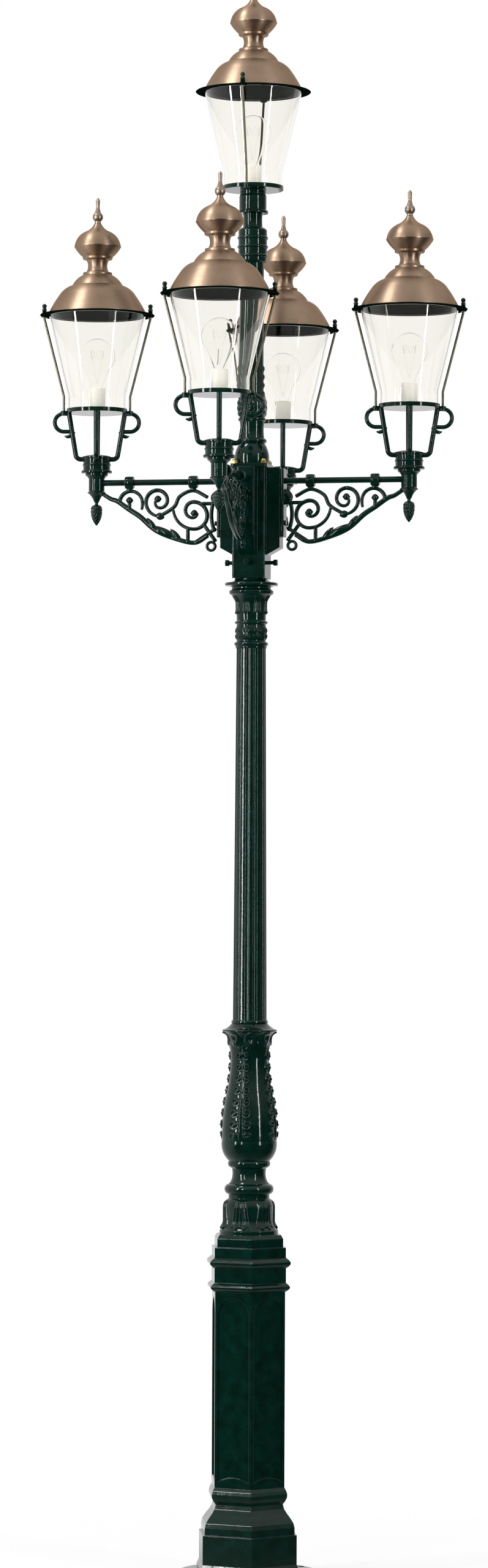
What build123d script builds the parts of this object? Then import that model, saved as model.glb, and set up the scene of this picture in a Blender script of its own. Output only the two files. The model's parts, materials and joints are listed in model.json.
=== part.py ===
"""Garden lamp post with four scroll arms and five copper-hooded lanterns.

Millimetres, +Z up, origin in the middle of the foot's underside. The arms lie along +X, +Y, -X and -Y.
"""
import math
import os

from build123d import *

os.makedirs("parts", exist_ok=True)

# Clearances
seat_gap = 0.4
run_gap = 0.06
move_gap = 0.3

# Foot flange
flange_r = 190.0
flange_t = 20.0
flange_edge_r = 8.0
cable_entry_r = 40.0
anchor_circle_r = 170.0
anchor_hole_r = 9.0
anchor_count = 4
locating_ring_h = 12.0
locating_ring_wall = 10.0

# Hexagonal pedestal: half widths across flats, and heights from the foot up
base_turn = 16.0
base_wall = 10.0
toe_half = 129.0
toe_h = 14.0
toe_slope_h = 13.0
plinth_half = 123.5
plinth_h = 76.0
ledge_half = 118.0
ledge_h = 19.0
cyma_h = 60.0
waist_half = 88.5
torus_half = 99.5
torus_h = 44.0
column_half = 92.0
column_h = 511.0
lower_ring_half = 104.5
lower_ring_h = 24.0
band_half = 94.0
band_h = 38.0
upper_ring_half = 106.5
upper_ring_h = 28.0
deck_t = 14.0
deck_hole_r = 50.0
moulding_steps = 5

# Arched panels in the pedestal's faces
panel_w = 90.0
panel_depth = 4.0
panel_margin = 16.0
panel_sill_rise = 12.0

# Service door in one rear face, with its lift-off hinge and key lock
door_face_angle = 60.0
door_w = 66.0
door_h = 340.0
door_corner_r = 6.0
door_edge_gap = 0.5
door_above_column_foot = 80.0
hinge_barrel_r = 3.5
hinge_barrel_h = 24.0
hinge_pin_r = 2.0
hinge_lug_h = 8.0
hinge_inset = 40.0
hinge_strap_t = 3.0
hinge_strap_reach = 20.0
lock_r = 7.0
lock_from_edge = 12.0
lock_proud = 2.0
lock_key_r = 4.0
lock_key_depth = 3.0
cam_l = 20.0
cam_w = 9.0
cam_t = 3.0
cam_gap = 1.0

# Terminal box inside the pedestal
terminal_w = 50.0
terminal_h = 120.0
terminal_d = 40.0
terminal_corner_r = 4.0
terminal_above_foot = 360.0

# Cable way through the post
way_r = 26.0

# Stepped collar and leaf bell
collar_step_half = 93.7
collar_step_h = 26.0
collar_upper_half = 86.7
collar_upper_h = 23.0
collar_bevel_h = 10.0
collar_bevel_half = 81.0
collar_spigot_h = 12.0
bell_foot_r = 77.5
bell_foot_h = 10.0
bell_cove_h = 32.0
bell_r = 64.6
bell_h = 27.0
bell_neck_h = 25.0
bell_neck_r = 54.0
bell_ring_gap_h = 10.0
bell_ring_h = 28.0
bell_ring_swell = 11.0

# Vase
vase_spigot_r = 40.0
vase_spigot_h = 12.0
vase_neck_r = 44.5
vase_neck_h = 40.0
vase_ring_r = 54.0
vase_ring_slope_h = 6.0
vase_ring_h = 14.0
vase_belly_r = 72.7
vase_belly_h = 53.0
vase_shoulder_r = 63.0
vase_shoulder_h = 113.0
vase_waist_r = 50.0
vase_waist_h = 105.0
vase_throat_r = 55.0
vase_throat_h = 40.0
vase_lip_r = 71.5
vase_lip_h = 30.0
vase_lip_t = 4.0
vase_top_r = 49.0
vase_top_h = 15.0

# Fluted shaft
shaft_foot_r = 47.0
shaft_foot_h = 10.0
shaft_low_r = 44.4
shaft_top_r = 38.6
shaft_h = 980.0
flute_count = 12
flute_r = 9.0
flute_depth = 2.6
tenon_r = 32.0
tenon_h = 40.0

# Capital
capital_foot_r = 41.0
capital_ring_r = 45.5
capital_ring_h = 18.0
capital_drum_r = 38.6
capital_swell_r = 42.6
capital_swell_h = 38.0
capital_upper_ring_r = 44.0
capital_upper_ring_h = 16.0
capital_bell_h = 36.0
capital_bell_r = 40.5
capital_flare_r = 58.0
capital_flare_h = 32.0
capital_waist_r = 53.0
capital_waist_h = 10.0
capital_plate_r = 70.3
capital_plate_h = 24.0
capital_top_h = 10.0
hub_spigot_h = 70.0
hub_spigot_r = 30.0

# Hub with four lugs
hub_half = 44.0
hub_h = 292.0
hub_corner_r = 4.0
lug_w = 48.0
lug_reach = 80.0
lug_from_foot = 81.0
lug_chamfer_h = 20.0
set_screw_from_foot = 42.0
set_screw_r = 5.0
set_screw_stand_off = 16.0
set_screw_head_r = 9.0
set_screw_head_h = 10.0

# Hub cap, its dome nuts, the riser and the riser collar
cap_plate_half = 49.0
cap_plate_t = 10.0
cap_corner_r = 8.0
cap_dome_r = 44.0
cap_dome_h = 56.0
cap_flange_r = 39.0
cap_flange_h = 12.0
cap_neck_r = 33.0
cap_neck_h = 46.0
cap_ring_r = 37.0
cap_ring_h = 10.0
nut_place = 39.0
nut_r = 7.5
nut_h = 7.0
stud_r = 4.0
stud_below = 14.0
riser_spigot_r = 24.0
riser_spigot_h = 30.0
riser_way_r = 18.0
riser_foot_r = 33.0
riser_bulb_r = 37.5
riser_bulb_h = 64.0
riser_r = 30.0
riser_h = 345.0
sleeve_r = 38.0
sleeve_ring_r = 40.0
sleeve_ring_h = 8.0
sleeve_h = 78.0
sleeve_neck_r = 26.0
sleeve_neck_h = 37.0

# Arms: height of the arm axis above the hub's foot, and reach to the lantern axis
arm_from_hub_foot = 258.0
arm_reach = 421.0
arm_tube_r = 8.0
arm_way_r = 5.5
arm_tube_in_lug = 24.0
arm_tube_in_socket = 10.0

# Arm socket and pine-cone drop
socket_r = 21.0
socket_seat_h = 26.0
socket_flange_r = 30.0
socket_flange_h = 6.0
socket_flare_r = 25.0
socket_flare_drop = 26.0
socket_cone_h = 24.0
socket_tip_r = 7.0
cup_spigot_r = 24.0
cup_spigot_h = 26.0
cone_r = 15.3
cone_h = 63.0
cone_stem_r = 5.0
cone_stud_r = 4.0
cone_stud_h = 14.0

# Scroll bracket: bars in the plane of the arm, drawn from the post axis and the arm axis
plate_t = 10.0
plate_w = 46.0
plate_margin = 3.0
bar_w = 10.0
bar_t = 13.0
rail_w = 11.0
eye_r = 9.0
clamp_w = 23.0
clamp_r = 16.5
clamp_stem_w = 16.0
small_r = 31.0
small_shift = 4.0
small_drop = 47.0
leaf_from_clamp = 76.0
leaf_rise = 6.0
leaf_l = 78.0
leaf_w = 20.0
leaf_tilt = 26.0
inner_clamp_from_plate = 68.0
outer_clamp_from_lantern = 90.0
rail_drop_at_hub = 143.0
rail_drop_at_socket = 30.0
rail_from_plate = 28.0
loop_r = 15.0
loop_hole_r = 7.0
loop_drop = 171.0
loop_from_plate = 19.0
bow_drop_top = 24.0
bow_drop_foot = 134.0
bow_depth = 14.0
bracket_bolt_r = 4.0
bracket_bolt_head_r = 6.8
bracket_bolt_head_h = 6.0
bracket_bolt_in_lug = 18.0
bracket_bolt_from_middle = 15.0
bracket_bolt_drops = (36.0, 112.0)

# Lantern: heights above the pan
lantern_turn = 11.5
glass_r = 77.0
glass_top_r = 126.0
glass_neck_h = 38.0
glass_h = 240.0
glass_t = 3.0
pan_t = 6.0
pan_rim_h = 5.0
pan_rim_t = 3.5
pan_above_seat = 166.0
top_pan_above_seat = 68.0

# Lantern frame
cup_r = 36.0
cup_foot_r = 40.0
cup_foot_h = 7.0
cup_h = 44.0
cup_lip_r = 38.5
cup_lip_h = 5.0
cup_bead_r = 38.0
cup_bead_h = 6.0
leg_r = 6.5
leg_foot_r = 54.0
leg_bend_r = 13.0
leg_count = 4
ear_bar_r = 5.5
ear_r = 24.0
rod_circle_r = 88.0
rod_boss_r = 8.0
rod_boss_h = 13.0

# Tie rods and ball knobs
rod_r = 3.2
rod_bend_r = 12.0
rod_top_circle_r = 141.0
rod_stop_r = 6.5
rod_stop_h = 4.0
rod_stud_h = 23.0
knob_foot_r = 6.5
knob_foot_h = 3.0
knob_neck_r = 4.8
knob_ball_r = 6.2
knob_h = 17.5
knob_bore_h = 11.0

# Lamp holder and globe bulb
holder_r = 22.0
holder_foot_r = 27.0
holder_foot_h = 7.0
holder_h = 60.0
holder_floor_h = 26.0
bulb_cap_r = 13.2
bulb_neck_r = 18.0
bulb_neck_h = 14.0
bulb_r = 47.5
bulb_mid_h = 146.0
bulb_wall = 1.5
bulb_gap = 0.6

# Hood ring (brim) and copper hood
brim_above_pan = 254.0
brim_r = 156.5
brim_t = 3.0
brim_droop = 19.5
band_skirt_h = 27.5
band_t = 3.0
glass_to_band = 2.0
hood_seat_r = 104.0
hood_seat_t = 5.0
brim_lug_w = 18.0
brim_lug_t = 14.5
brim_lug_end = 9.0
brim_hole_gap = 1.0
copper_t = 3.0
dome_r = 130.0
dome_flank_r = 104.5
dome_flank_h = 41.0
dome_flank_swell = 1.6
dome_crown_h = 19.0
dome_crown_swell = 5.5
upper_dome_r = 67.5
upper_dome_h = 29.0
upper_dome_swell = 3.5
neck_bead_r = 39.0
neck_bead_h = 6.0
neck_r = 29.0
neck_h = 32.0
neck_hollow = 4.5
onion_foot_h = 7.0
onion_r = 61.5
onion_flare_h = 24.0
onion_rim_h = 3.0
onion_shoulder_r = 30.0
onion_shoulder_h = 43.0
onion_swell = 7.0
onion_tip_r = 8.0
onion_tip_h = 24.0
onion_tip_hollow = 3.0

# Finial
finial_foot_h = 4.0
finial_ball_r = 14.0
finial_ball_h = 26.0
finial_waist_r = 4.8
finial_waist_h = 10.0
finial_spear_r = 5.7
finial_spear_h = 20.0
finial_tip_r = 2.5
finial_tip_h = 6.0
finial_stud_h = 12.0


def outline(points):
    """Draws a turned piece's outline; each point is (radius, height, swell away from the axis).

    The swell belongs to the stretch that leads up to the point; 0 is straight, minus is hollow.
    """
    for (r0, z0, _), (r1, z1, swell) in zip(points, points[1:]):
        if swell:
            SagittaArc((r0, z0), (r1, z1), -swell)
        else:
            Line((r0, z0), (r1, z1))


def closed(points):
    """Draws the outline and closes it with a straight stretch."""
    outline(points)
    Line(points[-1][:2], points[0][:2])


def scroll(start, heading, arcs):
    """Draws arcs that follow on smoothly from a point; each arc is (radius, degrees turned left)."""
    point = Vector(*start)
    tangent = Vector(math.cos(math.radians(heading)), math.sin(math.radians(heading)))
    for radius, turn in arcs:
        arc = JernArc(start=point, tangent=tangent, radius=radius, arc_size=turn)
        point = arc @ 1
        tangent = arc % 1


def hexagon(half):
    """Draws the pedestal's hexagon, given half its width across flats."""
    RegularPolygon(radius=half, side_count=6, major_radius=False, rotation=base_turn - 30)


def base_face(angle, out):
    """The plane of a pedestal face: local x runs to the right seen from outside, local y is up."""
    direction = math.radians(base_turn + angle)
    normal = Vector(math.cos(direction), math.sin(direction))
    return Plane(origin=normal * out, x_dir=normal.rotate(Axis.Z, 90), z_dir=normal)


def arm_plane(angle, out, z):
    """A plane square to an arm, at a distance from the post axis: local x is level, local y is up."""
    direction = Vector(math.cos(math.radians(angle)), math.sin(math.radians(angle)))
    origin = direction * out + Vector(0, 0, z)
    return Plane(origin=origin, x_dir=direction.rotate(Axis.Z, 90), z_dir=direction)


def hand_in(part, name):
    """Labels a finished piece and writes it out."""
    part.label = name
    export_step(part, f"parts/{name}.step")


# Foot flange with the cable entry, the anchor holes and a ring that locates the pedestal
cavity_half = column_half - base_wall
locating_ring_r = cavity_half - seat_gap

with BuildPart() as foot_flange:
    with BuildSketch():
        Circle(flange_r)
    extrude(amount=flange_t)
    fillet(foot_flange.edges().group_by(Axis.Z)[-1], flange_edge_r)
    with BuildSketch(Plane.XY.offset(flange_t)):
        Circle(locating_ring_r)
    extrude(amount=locating_ring_h)
    with BuildSketch(Plane.XY.offset(flange_t)):
        Circle(locating_ring_r - locating_ring_wall)
    extrude(amount=locating_ring_h, mode=Mode.SUBTRACT)
    with BuildSketch():
        Circle(cable_entry_r)
        with PolarLocations(anchor_circle_r, anchor_count, start_angle=45):
            Circle(anchor_hole_r)
    extrude(amount=flange_t, mode=Mode.SUBTRACT)

# Hexagonal pedestal: the mouldings are a stack of hexagons, from the toe to the upper ring
pedestal_foot = flange_t
column_foot = pedestal_foot + toe_h + toe_slope_h + plinth_h + ledge_h + cyma_h + torus_h
column_top = column_foot + column_h
pedestal_top = column_top + lower_ring_h + band_h + upper_ring_h


def moulding(z, h, start, end, swell):
    """Heights and half widths of a rounded moulding between two straight stretches."""
    steps = [i / moulding_steps for i in range(1, moulding_steps + 1)]
    return [(z + h * t, start + (end - start) * t + swell * math.sin(math.pi * t)) for t in steps]


def cyma(z, h, start, end):
    """Heights and half widths of an S-shaped moulding."""
    steps = [i / moulding_steps for i in range(1, moulding_steps + 1)]
    return [(z + h * t, end + (start - end) * (1 + math.cos(math.pi * t)) / 2) for t in steps]


edge = 1.0
levels = [(pedestal_foot, toe_half), (pedestal_foot + toe_h, toe_half)]
levels.append((levels[-1][0] + toe_slope_h, plinth_half))
levels.append((levels[-1][0] + plinth_h, plinth_half))
levels.append((levels[-1][0] + edge, ledge_half))
levels.append((levels[-1][0] + ledge_h - edge, ledge_half))
levels += cyma(levels[-1][0], cyma_h, ledge_half, waist_half)
torus_swell = torus_half - (waist_half + column_half) / 2
levels += moulding(levels[-1][0], torus_h, waist_half, column_half, torus_swell)
levels.append((column_top, column_half))
lower_swell = lower_ring_half - (column_half + band_half) / 2
levels += moulding(column_top, lower_ring_h, column_half, band_half, lower_swell)
levels.append((levels[-1][0] + band_h, band_half))
upper_swell = upper_ring_half - (band_half + collar_step_half) / 2
levels += moulding(levels[-1][0], upper_ring_h, band_half, collar_step_half, upper_swell)

panel_foot = column_foot + panel_margin
panel_top = column_top - panel_margin
door_foot = column_foot + door_above_column_foot
door_mid = door_foot + door_h / 2
hinge_x = -(door_w / 2 + hinge_barrel_r + move_gap)
hinge_out = column_half - panel_depth + hinge_barrel_r + move_gap
barrel_feet = (door_foot + hinge_inset, door_foot + door_h - hinge_inset - hinge_barrel_h)

with BuildPart() as base_pedestal:
    for height, half in levels:
        with BuildSketch(Plane.XY.offset(height)):
            hexagon(half)
    loft(ruled=True)
    with BuildSketch(Plane.XY.offset(pedestal_foot)):
        hexagon(cavity_half)
    extrude(amount=pedestal_top - deck_t - pedestal_foot, mode=Mode.SUBTRACT)
    with BuildSketch(Plane.XY.offset(pedestal_top - deck_t)):
        Circle(deck_hole_r)
    extrude(amount=deck_t, mode=Mode.SUBTRACT)
    for face in range(6):
        with BuildSketch(base_face(60 * face, column_half)):
            with BuildLine():
                half_w = panel_w / 2
                Line((-half_w, panel_foot), (-half_w, panel_top - half_w))
                RadiusArc((-half_w, panel_top - half_w), (half_w, panel_top - half_w), half_w)
                Line((half_w, panel_top - half_w), (half_w, panel_foot))
                SagittaArc((half_w, panel_foot), (-half_w, panel_foot), -panel_sill_rise)
            make_face()
        extrude(amount=-panel_depth, mode=Mode.SUBTRACT)
    with BuildSketch(base_face(door_face_angle, column_half)):
        with Locations((0, door_mid)):
            RectangleRounded(door_w, door_h, door_corner_r)
    extrude(amount=-2 * base_wall, mode=Mode.SUBTRACT)
    for barrel_foot in barrel_feet:
        lug_top = barrel_foot - move_gap
        with BuildSketch(base_face(door_face_angle, column_half - panel_depth)):
            with Locations((hinge_x, lug_top - hinge_lug_h / 2)):
                Rectangle(2 * hinge_barrel_r, hinge_lug_h)
        extrude(amount=2 * hinge_barrel_r + move_gap)
        hinge_spot = base_face(door_face_angle, hinge_out).from_local_coords((hinge_x, lug_top, 0))
        with BuildSketch(Plane(origin=hinge_spot)):
            Circle(hinge_pin_r)
        extrude(amount=hinge_barrel_h - hinge_lug_h / 2)

# Service door, flush with the bottom of its panel, with two barrels on straps
door_out = column_half - panel_depth
door_t = base_wall - panel_depth
lock_x = door_w / 2 - lock_from_edge

with BuildPart() as service_door:
    with BuildSketch(base_face(door_face_angle, door_out)):
        with Locations((0, door_mid)):
            RectangleRounded(door_w - 2 * door_edge_gap, door_h - 2 * door_edge_gap, door_corner_r)
    extrude(amount=-door_t)
    for barrel_foot in barrel_feet:
        with BuildSketch(base_face(door_face_angle, door_out + move_gap)):
            with Locations((hinge_x + hinge_strap_reach / 2, barrel_foot + hinge_barrel_h / 2)):
                Rectangle(hinge_strap_reach, hinge_barrel_h)
        extrude(amount=hinge_strap_t)
        with BuildSketch(base_face(door_face_angle, door_out)):
            strap_on_door = hinge_strap_reach - (hinge_barrel_r + move_gap + door_edge_gap)
            with Locations((hinge_x + hinge_strap_reach - strap_on_door / 2, barrel_foot + hinge_barrel_h / 2)):
                Rectangle(strap_on_door, hinge_barrel_h)
        extrude(amount=hinge_strap_t)
        hinge_spot = base_face(door_face_angle, hinge_out).from_local_coords((hinge_x, barrel_foot, 0))
        with BuildSketch(Plane(origin=hinge_spot)):
            Circle(hinge_barrel_r)
        extrude(amount=hinge_barrel_h)
        with BuildSketch(Plane(origin=hinge_spot)):
            Circle(hinge_pin_r + run_gap)
        extrude(amount=hinge_barrel_h, mode=Mode.SUBTRACT)
    with BuildSketch(base_face(door_face_angle, door_out)):
        with Locations((lock_x, door_mid)):
            Circle(lock_r + run_gap)
    extrude(amount=-door_t, mode=Mode.SUBTRACT)

# Quarter-turn lock: a barrel with a three-sided key hole and a cam behind the door
with BuildPart() as door_lock:
    with BuildSketch(base_face(door_face_angle, door_out + lock_proud)):
        with Locations((lock_x, door_mid)):
            Circle(lock_r)
    extrude(amount=-(lock_proud + door_t + cam_gap))
    with BuildSketch(base_face(door_face_angle, door_out - door_t - cam_gap)):
        with Locations((lock_x, door_mid + cam_l / 2)):
            Rectangle(cam_w, cam_l)
        with Locations((lock_x, door_mid)):
            Circle(lock_r)
    extrude(amount=-cam_t)
    with BuildSketch(base_face(door_face_angle, door_out + lock_proud)):
        with Locations((lock_x, door_mid)):
            RegularPolygon(lock_key_r, 3, rotation=90)
    extrude(amount=-lock_key_depth, mode=Mode.SUBTRACT)

# Terminal box on the inner wall that faces the door
with BuildPart() as terminal_box:
    with BuildSketch(base_face(door_face_angle + 180, cavity_half)):
        with Locations((0, terminal_above_foot + terminal_h / 2)):
            RectangleRounded(terminal_w, terminal_h, terminal_corner_r)
    extrude(amount=-terminal_d)

# Stepped hexagonal collar that turns round into the leaf bell
collar_foot = pedestal_top
bell_foot = collar_foot + collar_step_h + collar_upper_h + collar_bevel_h
bell_cove_top = bell_foot + bell_foot_h + bell_cove_h
bell_top = bell_cove_top + bell_h
bell_ring_foot = bell_top + bell_neck_h + bell_ring_gap_h
collar_top = bell_ring_foot + bell_ring_h
collar_levels = [(collar_foot, collar_step_half), (collar_foot + collar_step_h, collar_step_half)]
collar_levels.append((collar_levels[-1][0] + edge, collar_upper_half))
collar_levels.append((bell_foot - collar_bevel_h, collar_upper_half))
collar_levels.append((bell_foot, collar_bevel_half))

with BuildPart() as base_collar:
    for height, half in collar_levels:
        with BuildSketch(Plane.XY.offset(height)):
            hexagon(half)
    loft(ruled=True)
    with BuildSketch(Plane.XZ):
        with BuildLine():
            closed(
                [
                    (0, bell_foot - edge, 0),
                    (bell_foot_r, bell_foot - edge, 0),
                    (bell_foot_r, bell_foot + bell_foot_h, 0),
                    (bell_r, bell_cove_top, -bell_cove_h / 8),
                    (bell_r, bell_top, 0),
                    (bell_neck_r, bell_top + bell_neck_h, bell_neck_h / 8),
                    (bell_neck_r, bell_ring_foot, 0),
                    (bell_neck_r, collar_top, bell_ring_swell),
                    (0, collar_top, 0),
                ]
            )
        make_face()
    revolve(axis=Axis.Z)
    with BuildSketch(Plane.XY.offset(collar_foot)):
        Circle(deck_hole_r - seat_gap)
    extrude(amount=-collar_spigot_h)
    with BuildSketch(Plane.XY.offset(collar_foot - collar_spigot_h)):
        Circle(way_r)
    extrude(amount=collar_top - collar_foot + collar_spigot_h, mode=Mode.SUBTRACT)
    with BuildSketch(Plane.XY.offset(collar_top)):
        Circle(vase_spigot_r + seat_gap)
    extrude(amount=-vase_spigot_h - seat_gap, mode=Mode.SUBTRACT)

# Vase
vase_foot = collar_top
vase_ring_foot = vase_foot + vase_neck_h
belly_foot = vase_ring_foot + vase_ring_slope_h + vase_ring_h
belly_at = belly_foot + vase_belly_h
shoulder_at = belly_at + vase_shoulder_h
waist_at = shoulder_at + vase_waist_h
throat_at = waist_at + vase_throat_h
lip_at = throat_at + vase_lip_h
vase_top = lip_at + vase_lip_t + vase_top_h

with BuildPart() as vase:
    with BuildSketch(Plane.XZ):
        with BuildLine():
            closed(
                [
                    (way_r, vase_foot - vase_spigot_h, 0),
                    (vase_spigot_r, vase_foot - vase_spigot_h, 0),
                    (vase_spigot_r, vase_foot, 0),
                    (bell_neck_r, vase_foot, 0),
                    (vase_neck_r, vase_foot + vase_neck_h / 2, -2),
                    (vase_neck_r + edge, vase_ring_foot, -1),
                    (vase_ring_r, vase_ring_foot + vase_ring_slope_h, 0),
                    (vase_ring_r, belly_foot, 2),
                    (vase_belly_r, belly_at, 7),
                    (vase_shoulder_r, shoulder_at, 3),
                    (vase_waist_r, waist_at, -3),
                    (vase_throat_r, throat_at, -1),
                    (vase_lip_r, lip_at, -5),
                    (vase_lip_r, lip_at + vase_lip_t, edge),
                    (vase_top_r, vase_top, -2),
                    (tenon_r + seat_gap, vase_top, 0),
                    (tenon_r + seat_gap, vase_top - tenon_h - seat_gap, 0),
                    (way_r, vase_top - tenon_h - seat_gap, 0),
                ]
            )
        make_face()
    revolve(axis=Axis.Z)

# Fluted shaft: a plain foot ring, the tapered flutes and a tenon at each end
shaft_foot = vase_top
flutes_foot = shaft_foot + shaft_foot_h
shaft_top = flutes_foot + shaft_h

with BuildPart() as fluted_shaft:
    for height, radius in ((flutes_foot, shaft_low_r), (shaft_top, shaft_top_r)):
        with BuildSketch(Plane.XY.offset(height)):
            Circle(radius)
            with PolarLocations(radius - flute_depth + flute_r, flute_count):
                Circle(flute_r, mode=Mode.SUBTRACT)
    loft(ruled=True)
    with BuildSketch(Plane.XZ):
        with BuildLine():
            closed(
                [
                    (0, shaft_foot - tenon_h, 0),
                    (tenon_r, shaft_foot - tenon_h, 0),
                    (tenon_r, shaft_foot, 0),
                    (shaft_foot_r, shaft_foot, 0),
                    (shaft_foot_r, flutes_foot, 1.5),
                    (0, flutes_foot, 0),
                ]
            )
        make_face()
    revolve(axis=Axis.Z)
    with BuildSketch(Plane.XY.offset(shaft_top)):
        Circle(tenon_r)
    extrude(amount=tenon_h)
    with BuildSketch(Plane.XY.offset(shaft_foot - tenon_h)):
        Circle(way_r)
    extrude(amount=shaft_top - shaft_foot + 2 * tenon_h, mode=Mode.SUBTRACT)

# Capital, with a spigot on top that the hub is clamped to
capital_foot = shaft_top
drum_foot = capital_foot + capital_ring_h
swell_top = drum_foot + capital_swell_h
upper_ring_top = swell_top + capital_upper_ring_h
flare_foot = upper_ring_top + capital_bell_h
flare_top = flare_foot + capital_flare_h
plate_foot = flare_top + capital_waist_h
capital_top = plate_foot + capital_plate_h + capital_top_h

with BuildPart() as capital:
    with BuildSketch(Plane.XZ):
        with BuildLine():
            closed(
                [
                    (tenon_r + seat_gap, capital_foot, 0),
                    (capital_foot_r, capital_foot, 0),
                    (capital_drum_r, drum_foot, capital_ring_r - (capital_foot_r + capital_drum_r) / 2),
                    (capital_drum_r, swell_top, capital_swell_r - capital_drum_r),
                    (capital_drum_r, upper_ring_top, capital_upper_ring_r - capital_drum_r),
                    (capital_bell_r, flare_foot, 0),
                    (capital_flare_r, flare_top, -5),
                    (capital_waist_r, plate_foot, 1),
                    (hub_half, plate_foot + capital_plate_h, capital_plate_r - (capital_waist_r + hub_half) / 2),
                    (hub_half, capital_top, 0),
                    (hub_spigot_r - seat_gap, capital_top, 0),
                    (hub_spigot_r - seat_gap, capital_top + hub_spigot_h, 0),
                    (way_r - edge, capital_top + hub_spigot_h, 0),
                    (way_r - edge, capital_foot + tenon_h + seat_gap, 0),
                    (tenon_r + seat_gap, capital_foot + tenon_h + seat_gap, 0),
                ]
            )
        make_face()
    revolve(axis=Axis.Z)

# Hub: a square sleeve with a lug for each arm
hub_foot = capital_top
hub_top = hub_foot + hub_h
arm_z = hub_foot + arm_from_hub_foot
lug_foot = hub_foot + lug_from_foot
set_screw_z = hub_foot + set_screw_from_foot
plate_face = lug_reach + plate_t
plate_foot_drop = arm_z - lug_foot - plate_margin
plate_top_rise = hub_top - arm_z - plate_margin
arm_angles = (0, 90, 180, 270)
bolt_sides = (-bracket_bolt_from_middle, bracket_bolt_from_middle)
bolt_spots = [(side, -drop) for drop in bracket_bolt_drops for side in bolt_sides]

with BuildPart() as hub:
    with BuildSketch(Plane.XY.offset(hub_foot)):
        RectangleRounded(2 * hub_half, 2 * hub_half, hub_corner_r)
    extrude(amount=hub_h)
    with BuildSketch(Plane.XZ):
        with BuildLine():
            Polyline(
                (0, lug_foot - lug_chamfer_h),
                (hub_half, lug_foot - lug_chamfer_h),
                (lug_reach, lug_foot),
                (lug_reach, hub_top),
                (0, hub_top),
                close=True,
            )
        make_face()
    lug = extrude(amount=lug_w / 2, both=True, mode=Mode.PRIVATE)
    with PolarLocations(0, 4):
        add(lug)
    with BuildSketch(Plane.XY.offset(hub_foot)):
        Circle(hub_spigot_r)
    extrude(amount=hub_h, mode=Mode.SUBTRACT)
    for angle in arm_angles:
        with BuildSketch(arm_plane(angle, hub_half, set_screw_z)):
            Circle(set_screw_r + run_gap)
        extrude(amount=-hub_half, mode=Mode.SUBTRACT)
        with BuildSketch(arm_plane(angle, lug_reach, arm_z)):
            Circle(arm_way_r)
        extrude(amount=-lug_reach, mode=Mode.SUBTRACT)
        with BuildSketch(arm_plane(angle, lug_reach, arm_z)):
            Circle(arm_tube_r + seat_gap)
        extrude(amount=-arm_tube_in_lug, mode=Mode.SUBTRACT)
        with BuildSketch(arm_plane(angle, lug_reach, arm_z)):
            with Locations(*bolt_spots):
                Circle(bracket_bolt_r + run_gap)
        extrude(amount=-bracket_bolt_in_lug, mode=Mode.SUBTRACT)
    with BuildSketch(Plane.XY.offset(hub_top)):
        with PolarLocations(nut_place * math.sqrt(2), 4, start_angle=45):
            Circle(stud_r + run_gap)
    extrude(amount=-stud_below, mode=Mode.SUBTRACT)

# Set screws that clamp the hub on the capital's spigot
with BuildPart() as set_screw:
    with BuildSketch(arm_plane(0, hub_half + set_screw_stand_off, set_screw_z)):
        Circle(set_screw_r)
    extrude(amount=hub_spigot_r - seat_gap + move_gap - hub_half - set_screw_stand_off)
    with BuildSketch(arm_plane(0, hub_half + set_screw_stand_off, set_screw_z)):
        RegularPolygon(set_screw_head_r, 6)
    extrude(amount=set_screw_head_h)

# Bolts that hold the scroll brackets on the hub's lugs
with BuildPart() as bracket_bolt_set:
    with BuildSketch(arm_plane(0, plate_face, arm_z)):
        with Locations(*bolt_spots):
            Circle(bracket_bolt_r)
    extrude(amount=edge - plate_t - bracket_bolt_in_lug)
    with BuildSketch(arm_plane(0, plate_face, arm_z)):
        with Locations(*bolt_spots):
            RegularPolygon(bracket_bolt_head_r, 6)
    extrude(amount=bracket_bolt_head_h)

with BuildPart() as hub_bolts:
    with PolarLocations(0, len(arm_angles)):
        add(set_screw.part)
        add(bracket_bolt_set.part)

# Hub cap: a square plate, a dome and a neck with rings
cap_foot = hub_top
dome_foot = cap_foot + cap_plate_t
dome_top = dome_foot + cap_dome_h
cap_neck_foot = dome_top + cap_flange_h
cap_ring_foot = cap_neck_foot + cap_neck_h
cap_top = cap_ring_foot + cap_ring_h

with BuildPart() as hub_cap:
    with BuildSketch(Plane.XY.offset(cap_foot)):
        RectangleRounded(2 * cap_plate_half, 2 * cap_plate_half, cap_corner_r)
    extrude(amount=cap_plate_t)
    with BuildSketch(Plane.XZ):
        with BuildLine():
            closed(
                [
                    (0, cap_foot, 0),
                    (cap_dome_r, cap_foot, 0),
                    (cap_dome_r, dome_foot, 0),
                    (cap_neck_r, dome_top, cap_dome_h / 9),
                    (cap_neck_r, cap_neck_foot, cap_flange_r - cap_neck_r),
                    (cap_neck_r, cap_ring_foot, -2),
                    (cap_neck_r, cap_top, cap_ring_r - cap_neck_r),
                    (0, cap_top, 0),
                ]
            )
        make_face()
    revolve(axis=Axis.Z)
    with BuildSketch(Plane.XY.offset(cap_foot)):
        Circle(riser_way_r)
    extrude(amount=cap_top - cap_foot, mode=Mode.SUBTRACT)
    with BuildSketch(Plane.XY.offset(cap_top)):
        Circle(riser_spigot_r + seat_gap)
    extrude(amount=-riser_spigot_h - seat_gap, mode=Mode.SUBTRACT)
    with BuildSketch(Plane.XY.offset(cap_foot)):
        with PolarLocations(nut_place * math.sqrt(2), 4, start_angle=45):
            Circle(stud_r + run_gap)
    extrude(amount=cap_plate_t, mode=Mode.SUBTRACT)

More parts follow.
